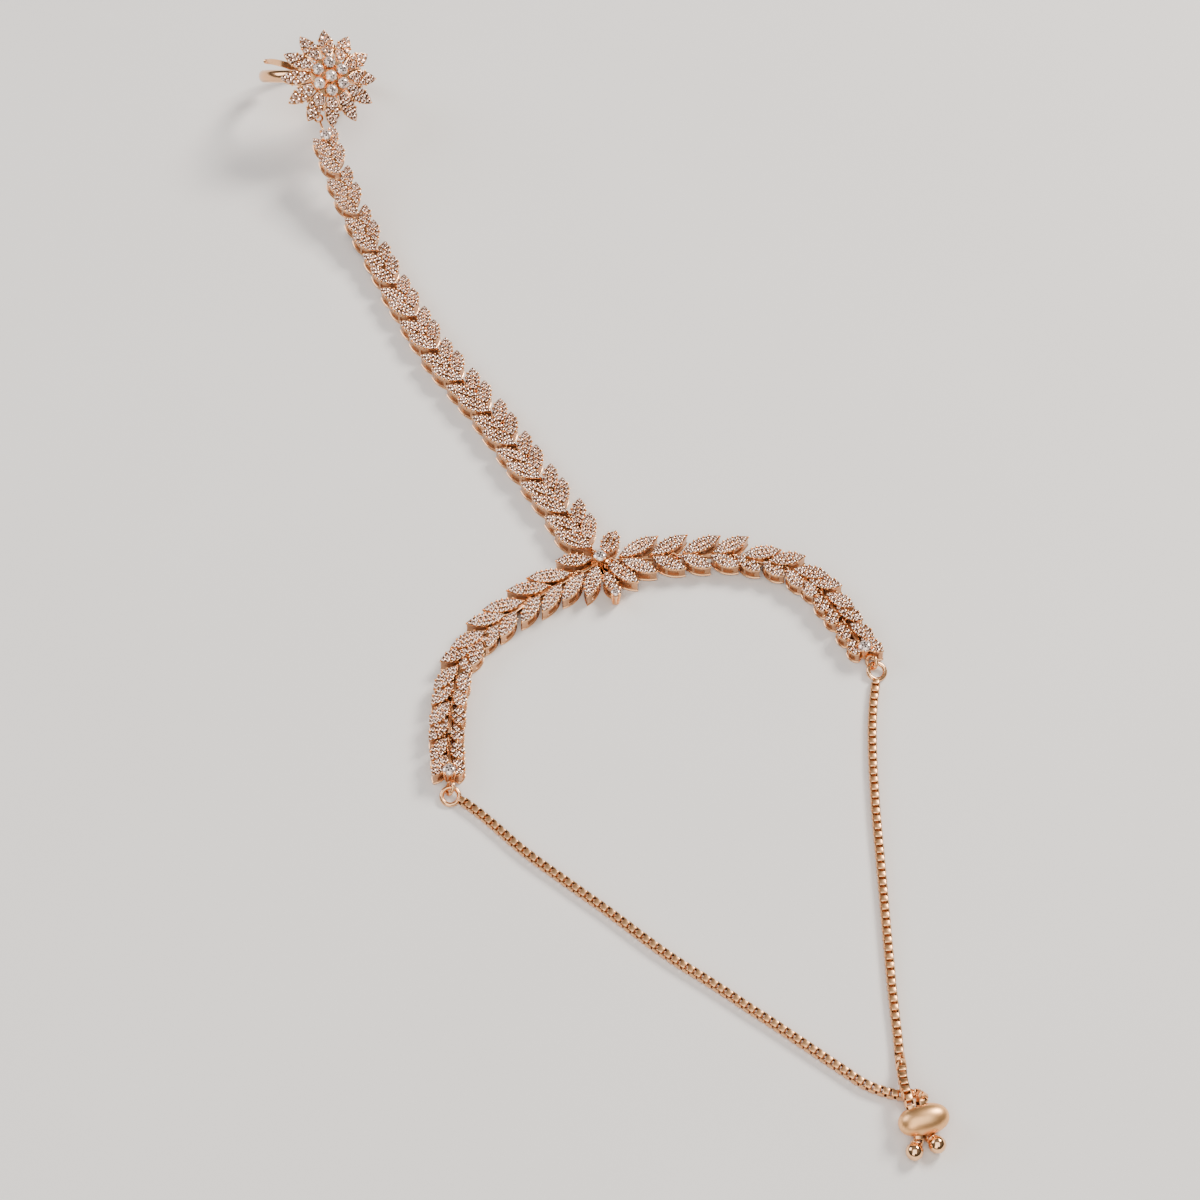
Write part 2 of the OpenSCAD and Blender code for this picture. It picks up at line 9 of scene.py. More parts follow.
import bmesh
import bpy
import numpy as np
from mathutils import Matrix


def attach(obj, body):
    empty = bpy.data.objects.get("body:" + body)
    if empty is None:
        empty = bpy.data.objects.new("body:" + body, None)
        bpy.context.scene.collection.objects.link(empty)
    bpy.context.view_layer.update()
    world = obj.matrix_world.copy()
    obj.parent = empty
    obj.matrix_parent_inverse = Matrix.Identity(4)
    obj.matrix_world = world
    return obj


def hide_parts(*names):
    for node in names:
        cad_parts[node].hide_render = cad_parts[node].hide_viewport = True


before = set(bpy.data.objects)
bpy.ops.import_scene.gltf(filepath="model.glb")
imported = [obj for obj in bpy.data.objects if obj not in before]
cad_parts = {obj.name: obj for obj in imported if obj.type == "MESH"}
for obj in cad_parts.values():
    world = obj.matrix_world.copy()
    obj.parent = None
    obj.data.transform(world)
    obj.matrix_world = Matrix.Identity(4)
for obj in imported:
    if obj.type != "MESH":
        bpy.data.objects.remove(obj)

LOG = logging.getLogger("hand_harness")
MM = 0.001
BODY = "root"
SHARP_ANGLE = math.radians(38)
UP = np.array([0.0, 0.0, 1.0])
Points = np.ndarray
Matrix4 = np.ndarray
Face = tuple[int, ...]
Colour = tuple[float, float, float, float]
# Side, height and first angle of the four rounded corners of a bar or of a box link
CORNERS = ((1, 1, 0), (-1, 1, 90), (-1, -1, 180), (1, -1, 270))
# How far the painted light and shade of a whole stone, and of one facet, may lie from the cut's own
STONE_PAINTED_LIGHT = (-0.28, 0.12)
FACET_PAINTED_LIGHT = (-0.2, 0.2)
# Whether the place x, y is taken within a free radius
Blocked = Callable[[float, float, float], bool]
# Moves a ring of points clear of what is near, given the wall's inset
Trim = Callable[[Points, float], Points]


def linear(hex_colour: str) -> Colour:
    """Turns an sRGB hex colour to linear light.

    Args:
        hex_colour: six hex digits, red first.

    Returns:
        Linear red, green, blue and full opacity.
    """
    channels = [int(hex_colour[k : k + 2], 16) / 255 for k in (0, 2, 4)]
    bent = [c / 12.92 if c <= 0.04045 else ((c + 0.055) / 1.055) ** 2.4 for c in channels]
    return bent[0], bent[1], bent[2], 1.0


def add_node(
    tree: bpy.types.NodeTree,
    kind: str,
    values: dict[Any, Any] | None = None,
    links: dict[Any, Any] | None = None,
    **settings: Any,
) -> bpy.types.Node:
    """Adds a shader node with its settings, socket values and incoming links.

    Args:
        tree: the material's or world's node tree.
        kind: Blender's name of the node type.
        values: input socket name or number to its value.
        links: input socket name or number to the output socket that feeds it.
        settings: properties of the node itself.

    Returns:
        The new node.
    """
    node = tree.nodes.new(kind)
    for name, value in settings.items():
        setattr(node, name, value)
    for socket, value in (values or {}).items():
        node.inputs[socket].default_value = value
    for socket, source in (links or {}).items():
        tree.links.new(source, node.inputs[socket])
    return node


def shader_tree(name: str) -> tuple[bpy.types.Material, bpy.types.NodeTree, bpy.types.Node]:
    """Makes an empty node material.

    Args:
        name: the material's name.

    Returns:
        The material, its tree and its output node.
    """
    material = bpy.data.materials.new(name)
    material.use_nodes = True
    material.node_tree.nodes.clear()
    output = add_node(material.node_tree, "ShaderNodeOutputMaterial")
    return material, material.node_tree, output


def noise_values(size_mm: float, detail: float) -> dict[str, float]:
    """Socket values of noise whose blotches are about size_mm across in object space."""
    return {"Scale": 1 / (size_mm * MM), "Detail": detail, "Roughness": 0.55}


@dataclass(frozen=True)
class PlatedMetal:
    """Electroplated rose gold over brass: an opaque warm metal whose colour is all in its reflection.

    colour and shade are the plate's two tones. The wear's blotches and the surface grain have their
    real sizes in millimetres, but the grain is drawn about ten times coarser than it is, to show at all.
    """

    name: str
    colour: str
    shade: str
    roughness: tuple[float, float]
    blotch_mm: float
    grain_mm: float
    grain_depth_mm: float

    def material(self) -> bpy.types.Material:
        """Builds the metal: two close tones of plate, uneven polish and a fine surface grain.

        Returns:
            The material.
        """
        material, tree, output = shader_tree(self.name)
        place = {"Vector": add_node(tree, "ShaderNodeTexCoord").outputs["Object"]}
        wear = add_node(tree, "ShaderNodeTexNoise", noise_values(self.blotch_mm, 2.0), place)
        tone = add_node(tree, "ShaderNodeValToRGB", None, {"Fac": wear.outputs["Fac"]})
        tone.color_ramp.elements[0].color = linear(self.colour)
        tone.color_ramp.elements[1].color = linear(self.shade)
        least, most = self.roughness
        polish = add_node(
            tree,
            "ShaderNodeMapRange",
            {"To Min": least, "To Max": most},
            {"Value": wear.outputs["Fac"]},
        )
        grit = add_node(tree, "ShaderNodeTexNoise", noise_values(self.grain_mm, 3.0), place)
        bump = add_node(
            tree,
            "ShaderNodeBump",
            {"Strength": 0.35, "Distance": self.grain_depth_mm * MM},
            {"Height": grit.outputs["Fac"]},
        )
        shader = add_node(
            tree,
            "ShaderNodeBsdfPrincipled",
            {"Metallic": 1.0},
            {
                "Base Color": tone.outputs["Color"],
                "Roughness": polish.outputs["Result"],
                "Normal": bump.outputs["Normal"],
            },
        )
        tree.links.new(shader.outputs["BSDF"], output.inputs["Surface"])
        return material


@dataclass(frozen=True)
class CubicZirconia:
    """Colourless cubic zirconia, cut and polished: bright facets beside dark ones.

    The stone itself has no colour: dark, warm, pale and bright are painted tones that stand in for the
    reflections, light and dark, that each facet sends back, and mirror is how much of the light comes back
    from the facets behind, as from a mirror. The refractive index is that of zirconia.
    """

    name: str
    dark: str
    warm: str
    pale: str
    bright: str
    mirror: float

    def material(self) -> bpy.types.Material:
        """Builds the stone: each facet has its shine and a painted tone for the light its cut sends back.

        Returns:
            The material.
        """
        material, tree, output = shader_tree(self.name)
        # Each facet's painted reflection tone, light or dark, which the ramp turns to colour
        tone = add_node(tree, "ShaderNodeAttribute", attribute_name="facet_painted_light")
        ramp = add_node(tree, "ShaderNodeValToRGB", None, {"Fac": tone.outputs["Fac"]})
        warm_at, pale_at, bright_at = 0.3, 0.58, 0.82
        stops = ramp.color_ramp.elements
        stops[0].color = linear(self.dark)
        stops[1].color = linear(self.bright)
        stops[1].position = bright_at
        stops.new(warm_at).color = linear(self.warm)
        stops.new(pale_at).color = linear(self.pale)
        mirror, face = (
            add_node(tree, "ShaderNodeBsdfPrincipled", values, {"Base Color": ramp.outputs["Color"]})
            for values in (
                {"Metallic": 1.0, "Roughness": 0.06},
                {"Metallic": 0.0, "Roughness": 0.03, "IOR": 2.15},
            )
        )
        both = add_node(
            tree,
            "ShaderNodeMixShader",
            {"Fac": self.mirror},
            {1: face.outputs["BSDF"], 2: mirror.outputs["BSDF"]},
        )
        tree.links.new(both.outputs["Shader"], output.inputs["Surface"])
        return material


class Finish(Enum):
    """The finishes that the faces of the harness can have."""

    # Rolled and buffed plate gives broad soft reflections
    POLISHED = PlatedMetal("rose_gold_polished", "F6C494", "ECB280", (0.13, 0.24), 3.0, 0.25, 0.003)
    # Tumbled side walls and rails are never buffed, so they are a little darker and satin
    TUMBLED = PlatedMetal("rose_gold_tumbled", "D9A880", "C4926A", (0.26, 0.4), 1.6, 0.15, 0.01)
    # Chain links are barrel-polished, which leaves a soft, even, pale shine
    BARRELED = PlatedMetal("rose_gold_barrel_polished", "FCC692", "F0B27C", (0.25, 0.34), 2.0, 0.2, 0.004)
    # Bright-cut grains and claws catch small hard highlights
    BRIGHT = PlatedMetal("rose_gold_bright_cut", "FFC080", "FFB06C", (0.14, 0.26), 1.2, 0.2, 0.002)
    # The floor between the stones is cut by hand, so it is satin; its dark colour is painted shade
    # for the narrow gaps between the stones
    SHADED_BED = PlatedMetal("rose_gold_bed_painted_shade", "94603C", "784C2E", (0.32, 0.5), 0.7, 0.1, 0.02)
    # Cast inner faces are plated but never polished, so they stay dull; their darker colour is painted
    # shade for the hollows and the slot floors
    INNER_SHADE = PlatedMetal("rose_gold_as_cast_painted_shade", "B98A66", "9E7252", (0.42, 0.58), 1.5, 0.12, 0.02)
    # The insides of the chain links are never polished, so they are dull; their dark colour is painted
    # shade for the gaps between the links
    LINK_INSIDE_SHADE = PlatedMetal("rose_gold_link_inside_painted_shade", "7A5138", "5F3D29", (0.5, 0.65), 0.8, 0.12, 0.01)
    # The end beads are cut with a diamond tool, which leaves small hard mirrors
    CUT = PlatedMetal("rose_gold_diamond_cut", "FFD2A2", "F8BE88", (0.05, 0.1), 1.2, 0.2, 0.0)
    # The slider is brushed before plating, so its shine is broad and even
    BRUSHED = PlatedMetal("rose_gold_brushed", "FFCA8E", "FABA7C", (0.34, 0.42), 2.0, 0.2, 0.003)
    # Small melee stones: their facets are painted light and dark as reflections,
    # and pinkish white as a painted reflection of the gold under them
    MELEE = CubicZirconia("zirconia_melee_painted_reflections", "2A1208", "B4704C", "FFC09C", "FFE2D0", 0.62)
    # The larger round stones are clearer; their facets are painted light and dark as reflections too
    ROUND = CubicZirconia("zirconia_round_painted_reflections", "2C2422", "9C8680", "FCE2D8", "FFF0E6", 0.4)

    @property
    def is_stone(self) -> bool:
        """Whether it is a stone's finish and not a metal's."""
        return isinstance(self.value, CubicZirconia)


@dataclass(frozen=True)
class Shape:
    """A small mesh in millimetres: vertices and faces, and a stone's painted reflection tone for each
    facet.
    """

    verts: Points
    faces: list[Face]
    smooth: bool = True
    tones: tuple[float, ...] = ()


def turn(axis: str, degrees: float) -> Matrix4:
    """Returns the 4 by 4 rotation about an axis.

    Args:
        axis: x, y or z.
        degrees: the angle, right-handed.

    Returns:
        The matrix.
    """
    angle = math.radians(degrees)
    c, s = math.cos(angle), math.sin(angle)
    first, second = {"x": (1, 2), "y": (2, 0), "z": (0, 1)}[axis]
    matrix = np.eye(4)
    matrix[first, first] = matrix[second, second] = c
    matrix[first, second] = -s
    matrix[second, first] = s
    return matrix


def shift(x: float, y: float, z: float) -> Matrix4:
    """Returns the 4 by 4 translation."""
    return np.array([[1, 0, 0, x], [0, 1, 0, y], [0, 0, 1, z], [0, 0, 0, 1]], float)


def scale(across: float, up: float) -> Matrix4:
    """Returns the 4 by 4 scaling, the same in x and y."""
    return np.diag([across, across, up, 1.0])


def moved(matrix: Matrix4, points: Points) -> Points:
    """Returns points, one a row, after a 4 by 4 matrix."""
    return points @ matrix[:3, :3].T + matrix[:3, 3]


def ring_points(radius: float, count: int, z: float, start: float = 0.0) -> Points:
    """Returns count points round a circle at height z, the first at start steps."""
    angles = (np.arange(count) + start) * 2 * math.pi / count
    return np.stack([radius * np.cos(angles), radius * np.sin(angles), np.full(count, z)], 1)


def loft(rings: Sequence[Points], closed: bool = False, smooth: bool = True) -> Shape:
    """Joins rings of equal point counts into a skin.

    Args:
        rings: the cross-sections in order.
        closed: whether the last ring joins the first, or both are filled.
        smooth: whether the skin shades smooth.

    Returns:
        The skin as a shape.
    """
    count, total = len(rings[0]), len(rings)
    faces: list[Face] = []
    for k in range(total if closed else total - 1):
        a, b = k * count, (k + 1) % total * count
        for j in range(count):
            n = (j + 1) % count
            faces.append((a + j, a + n, b + n, b + j))
    if not closed:
        faces.append(tuple(range(count))[::-1])
        faces.append(tuple((total - 1) * count + j for j in range(count)))
    return Shape(np.vstack(rings), faces, smooth)


def directions(path: Points) -> Points:
    """Returns the unit direction of a path at each of its points."""
    steps = np.vstack([path[1:], path[-1:]]) - np.vstack([path[:1], path[:-1]])
    return steps / np.linalg.norm(steps, axis=1)[:, None]


def upright_frames(path: Points, up: Points) -> list[tuple[Points, Points]]:
    """Returns the side and upper unit vectors at each point of a path, turned as little as needed.

    Args:
        path: points, one a row.
        up: the upper direction wanted at the start.

    Returns:
        One (side, upper) pair a point.
    """
    frames = []
    last = np.array(up, float)
    for tangent in directions(path):
        last = last - (last @ tangent) * tangent
        last = last / np.linalg.norm(last)
        frames.append((np.cross(last, tangent), last))
    return frames


def tube(path: Sequence[Sequence[float]], radii: float | Sequence[float], sides: int = 10) -> Shape:
    """Sweeps a round wire along a path and closes its ends.

    Args:
        path: points in millimetres.
        radii: one radius, or one a point.
        sides: points round the wire.

    Returns:
        The wire.
    """
    points = np.array(path, float)
    sizes = np.broadcast_to(np.array(radii, float), (len(points),))
    start = directions(points)[0]
    up = UP if abs(start[2]) < 0.9 else np.array([1.0, 0.0, 0.0])
    circle = ring_points(1.0, sides, 0.0)
    rings = [
        point + size * (circle[:, :1] * side + circle[:, 1:2] * upper)
        for point, size, (side, upper) in zip(points, sizes, upright_frames(points, up))
    ]
    return loft(rings)


def torus(radius: float, wire: float, around: int = 28, sides: int = 10) -> Shape:
    """Returns a wire ring lying in the xy plane.

    Args:
        radius: radius of the wire's middle line.
        wire: the wire's diameter.
        around: sections round the ring.
        sides: points round the wire.

    Returns:
        The ring.
    """
    rings = []
    for k in range(around):
        section = ring_points(wire / 2, sides, 0.0)
        local = np.stack([radius + section[:, 0], np.zeros(sides), section[:, 1]], 1)
        rings.append(moved(turn("z", 360 * k / around), local))
    return loft(rings, closed=True)


def lathe(profile: Sequence[tuple[float, float]], around: int) -> Shape:
    """Turns a profile of (radius, z) pairs about z and closes its ends."""
    return loft([ring_points(r, around, z) for r, z in profile])


def soft_bar(length: float, height: float) -> Shape:
    """Returns a bar along x from 0, as wide as a rail, resting on z = 0, with rounded edges and ends.

    Args:
        length: size along x.
        height: size along z.

    Returns:
        The bar.
    """
    edge, width = 0.1, GAUGE.rail_w
    rings = []
    for x, inset in ((0.0, edge), (edge, 0.0), (length - edge, 0.0), (length, edge)):
        round_r = edge - inset * 0.7
        corners = []
        for cy, cz, start in CORNERS:
            for step in (0, 45, 90):
                angle = math.radians(start + step)
                y = cy * (width / 2 - edge) + round_r * math.cos(angle)
                z = height / 2 + cz * (height / 2 - edge) + round_r * math.sin(angle)
                corners.append((x, y, z))
        rings.append(np.array(corners))
    return loft(rings)


def small_brilliant() -> Shape:
    """Returns a melee stone of radius 1 with its girdle at z = 0: table, crown facets and a point below.

    Returns:
        The stone, with a painted reflection tone for each facet.
    """
    table_z, point_z = 0.3, -0.6
    middle = ring_points(0.3, 8, table_z)
    table = ring_points(0.58, 8, table_z)
    girdle = ring_points(1.0, 8, 0.0)
    faces: list[Face] = [tuple(range(8))]
    tones = [0.1]
    for k in range(8):
        n = (k + 1) % 8
        faces += [(k, 8 + k, 8 + n, n), (8 + k, 16 + k, 16 + n, 8 + n), (16 + n, 16 + k, 24)]
        # Painted reflections: a light or dark tone for each facet, as the cut would send back
        tones += [0.25 if k % 2 else 0.7, 0.2 if k in (2, 5) else 0.98, 0.3]
    return Shape(np.vstack([middle, table, girdle, [[0, 0, point_z]]]), faces, False, tuple(tones))


def full_brilliant() -> Shape:
    """Returns a round brilliant of radius 1 with its girdle at z = 0: table, stars, kites and girdle.

    Returns:
        The stone, with a painted reflection tone for each facet.
    """
    table_z, point_z = 0.33, -0.8
    middle = ring_points(0.2, 8, table_z)
    table = ring_points(0.56, 8, table_z)
    stars = ring_points(0.78, 8, 0.21, 0.5)
    upper = ring_points(1.0, 16, 0.04)
    lower = ring_points(1.0, 16, -0.03)
    faces: list[Face] = [tuple(range(8))]
    tones = [0.45]
    for k in range(8):
        n, g = (k + 1) % 8, 24 + 2 * k
        after = 24 + (2 * k + 2) % 16
        faces += [(k, 8 + k, 8 + n, n), (8 + k, 16 + k, 8 + n), (16 + (k - 1) % 8, g, 16 + k, 8 + k)]
        faces += [(16 + k, g, g + 1), (16 + k, g + 1, after)]
        # Painted reflections: a light or dark tone for each facet, as the cut would send back
        tones += [0.12, 0.9, 0.7, 0.95, 0.3] if k % 2 else [0.8, 0.35, 0.95, 0.5, 0.95]
    for k in range(16):
        n = (k + 1) % 16
        faces += [(24 + k, 40 + k, 40 + n, 24 + n), (40 + n, 40 + k, 56)]
        tones += [0.6, 0.3]
    verts = np.vstack([middle, table, stars, upper, lower, [[0, 0, point_z]]])
    return Shape(verts, faces, False, tuple(tones))


def grain() -> Shape:
    """Returns a raised grain of metal of radius 1 standing on z = 0.

    Returns:
        The grain.
    """
    rings = [ring_points(1.0, 6, -0.6), ring_points(1.0, 6, 0.1), ring_points(0.72, 6, 0.68)]
    shape = loft(rings)
    faces = shape.faces[:-1] + [(12 + k, 12 + (k + 1) % 6, 18) for k in range(6)]
    return Shape(np.vstack([shape.verts, [[0, 0, 0.98]]]), faces)


@dataclass(frozen=True)
class Gauge:
    """Sizes that the links and their joins share, in millimetres, as the frame has them."""

    link_h: float = 3.2
    plate_t: float = 1.0
    step: float = 0.05
    gap: float = 0.15
    loop_r: float = 0.75
    loop_wire: float = 0.44
    hinge_z: float = 1.6
    rail_w: float = 0.7
    rail_past: float = 2.2
    bar_h: float = 0.8
    first_leaf: float = 0.8
    collet_wall: float = 0.2

    def hoop_x(self, pitch: float) -> float:
        """Where the middle of a lying hoop is, when the next hinge is pitch away."""
        return pitch - self.loop_r / 2

    def hoop_foot(self, pitch: float) -> float:
        """Where the bar or wire that carries a lying hoop ends, just inside the hoop's wire."""
        return pitch - self.loop_r * 1.5 + 0.1


GAUGE = Gauge()
SMALL_STONE = small_brilliant()
ROUND_STONE = full_brilliant()
GRAIN = grain()
LOOP = torus(GAUGE.loop_r, GAUGE.loop_wire)


def face_outward(mesh: bpy.types.Mesh) -> None:
    """Turns the faces of every closed skin of a mesh outward.

    Args:
        mesh: the mesh that is changed.
    """
    work = bmesh.new()
    work.from_mesh(mesh)
    bmesh.ops.recalc_face_normals(work, faces=work.faces)
    work.to_mesh(mesh)
    work.free()
    mesh.update()


class Assembly:
    """Collects meshes in millimetres, by finish, and makes a metal object and a stone object of them."""

    def __init__(self, name: str, seed: int) -> None:
        """Starts an empty assembly.

        Args:
            name: the name of the CAD node that it stands for.
            seed: seed of its painted facet reflection tones and of the small turns of its stones.
        """
        self.name = name
        self.random = np.random.default_rng(seed)
        self.parts: list[tuple[Points, Shape, list[Finish]]] = []

    def add(self, shape: Shape, finish: Finish | list[Finish], matrix: Matrix4 | None = None) -> None:
        """Adds a shape, moved by matrix if one is given.

        Args:
            shape: the shape.
            finish: one finish, or a list of one a face.
            matrix: the shape's frame to the row frame.
        """
        points = shape.verts if matrix is None else moved(matrix, shape.verts)
        kinds = finish if isinstance(finish, list) else [finish] * len(shape.faces)
        self.parts.append((points, shape, kinds))

    def build(self) -> bpy.types.Object:
        """Makes the metal object, and the stone object if there are stones.

        Returns:
            The metal object.
        """
        metal = self.make(self.name + "_metal", False)
        if any(finishes[0].is_stone for _, _, finishes in self.parts):
            self.make(self.name + "_stones", True)
        return metal

    def make(self, name: str, stones: bool) -> bpy.types.Object:
        """Makes one object of the stones, or of everything else, and lets it stand for the node.

        Args:
            name: the object's name.
            stones: whether it takes the stones or the metal.

        Returns:
            The object.
        """
        verts: list[Points] = []
        faces: list[Face] = []
        kinds: list[Finish] = []
        smooth: list[bool] = []
        painted_light_levels: list[Points] = []
        count = 0
        for points, shape, finishes in self.parts:
            if finishes[0].is_stone != stones:
                continue
            # Painted reflections: each stone, and each facet, is made a little lighter or darker than its
            # cut's tone
            own = np.array(shape.tones) if shape.tones else np.full(len(shape.faces), 0.5)
            own = own + self.random.uniform(*STONE_PAINTED_LIGHT) + self.random.uniform(*FACET_PAINTED_LIGHT, len(own))
            painted_light_levels.append(np.clip(own, 0.0, 1.0))
            verts.append(points)
            faces += [tuple(v + count for v in face) for face in shape.faces]
            kinds += finishes
            smooth += [shape.smooth] * len(shape.faces)
            count += len(points)
        mesh = bpy.data.meshes.new(name)
        mesh.from_pydata((np.vstack(verts) * MM).tolist(), [], faces)
        used = list(dict.fromkeys(kinds))
        for finish in used:
            mesh.materials.append(DRESS[finish])
        mesh.polygons.foreach_set("material_index", [used.index(kind) for kind in kinds])
        mesh.polygons.foreach_set("use_smooth", smooth)
        tones = mesh.attributes.new("facet_painted_light", "FLOAT", "FACE")
        tones.data.foreach_set("value", np.concatenate(painted_light_levels).astype(np.float32))
        face_outward(mesh)
        mesh.set_sharp_from_angle(angle=SHARP_ANGLE)
        piece = bpy.data.objects.new(name, mesh)
        bpy.context.scene.collection.objects.link(piece)
        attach(piece, BODY)
        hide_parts(self.name)
        LOG.info("%s: %d faces", name, len(faces))
        return piece


@dataclass(frozen=True)
class Leaf:
    """A pointed leaf: where it starts in its link, its angle in degrees, its length and its width."""

    x: float
    y: float
    angle: float
    length: float
    width: float

    @property
    def arc(self) -> float:
        """Radius of the two arcs that bound the leaf."""
        return (self.length**2 + self.width**2) / (4 * self.width)

    @property
    def drop(self) -> float:
        """How far each arc's centre lies beyond the leaf's axis."""
        return self.arc - self.width / 2

    @property
    def matrix(self) -> Matrix4:
        """Leaf frame to link frame."""
        return shift(self.x, self.y, 0) @ turn("z", self.angle)

    def outline(self, inset: float, fractions: Sequence[float], z: float) -> Points:
        """Returns the leaf's outline moved inward, upper arc out and lower arc back.

        Args:
            inset: how far inward.
            fractions: places along an arc, from 0 at the start to 1 at the tip.
            z: the outline's height.

        Returns:
            Points in the leaf's frame.
        """
        radius = self.arc - inset
        reach = math.acos(min(1.0, self.drop / radius))
        angles = [reach * (1 - 2 * t) for t in fractions]
        middle = self.length / 2
        out = [(middle - radius * math.sin(a), radius * math.cos(a) - self.drop, z) for a in angles]
        back = [(x, -y, z) for x, y, _ in out[::-1][1:-1]]
        return np.array(out + back)

    def clear(self, points: Points, gap: float) -> Points:
        """Pushes points of this leaf's frame out of the leaf, to gap beyond its edge.

        Args:
            points: points, one a row, changed in x and y only.
            gap: clearance to keep.

        Returns:
            The points that result.
        """
        out = points.copy()
        limit = self.arc + gap
        centres = np.array([[self.length / 2, -self.drop], [self.length / 2, self.drop]])
        reach = np.stack([np.linalg.norm(out[:, :2] - c, axis=1) for c in centres], 1)
        inside = (reach < limit).all(1)
        nearest = reach.argmax(1)
        for k in np.flatnonzero(inside):
            centre = centres[nearest[k]]
            out[k, :2] = centre + (out[k, :2] - centre) * limit / reach[k, nearest[k]]
        return out

    def depth(self, x: float, y: float) -> float:
        """How far inside the leaf's edge a point of its frame lies, below 0 outside."""
        return self.arc - max(math.hypot(x - self.length / 2, y + s * self.drop) for s in (-1, 1))


def covered(matrix: Matrix4, over: list[tuple[Matrix4, Leaf, float]]) -> Blocked:
    """Returns the test of whether a place in a leaf's frame lies on one of the leaves over it.

    Args:
        matrix: the leaf's frame to the row frame.
        over: each other leaf's frame, the leaf and the clearance to keep from it.

    Returns:
        Function of x, y and the free radius wanted there.
    """
    ways = [(np.linalg.inv(frame_of) @ matrix, leaf, gap) for frame_of, leaf, gap in over]

    def blocked(x: float, y: float, room: float) -> bool:
        """Whether another leaf reaches nearer than room to the place.

        Args:
            x: place along the leaf.
            y: place across the leaf.
            room: free radius wanted there.

        Returns:
            Whether the place is taken.
        """
        place = np.array([[x, y, GAUGE.link_h]])
        for way, leaf, gap in ways:
            px, py, _ = moved(way, place)[0]
            if leaf.depth(px, py) > -(gap + room):
                return True
        return False

    return blocked


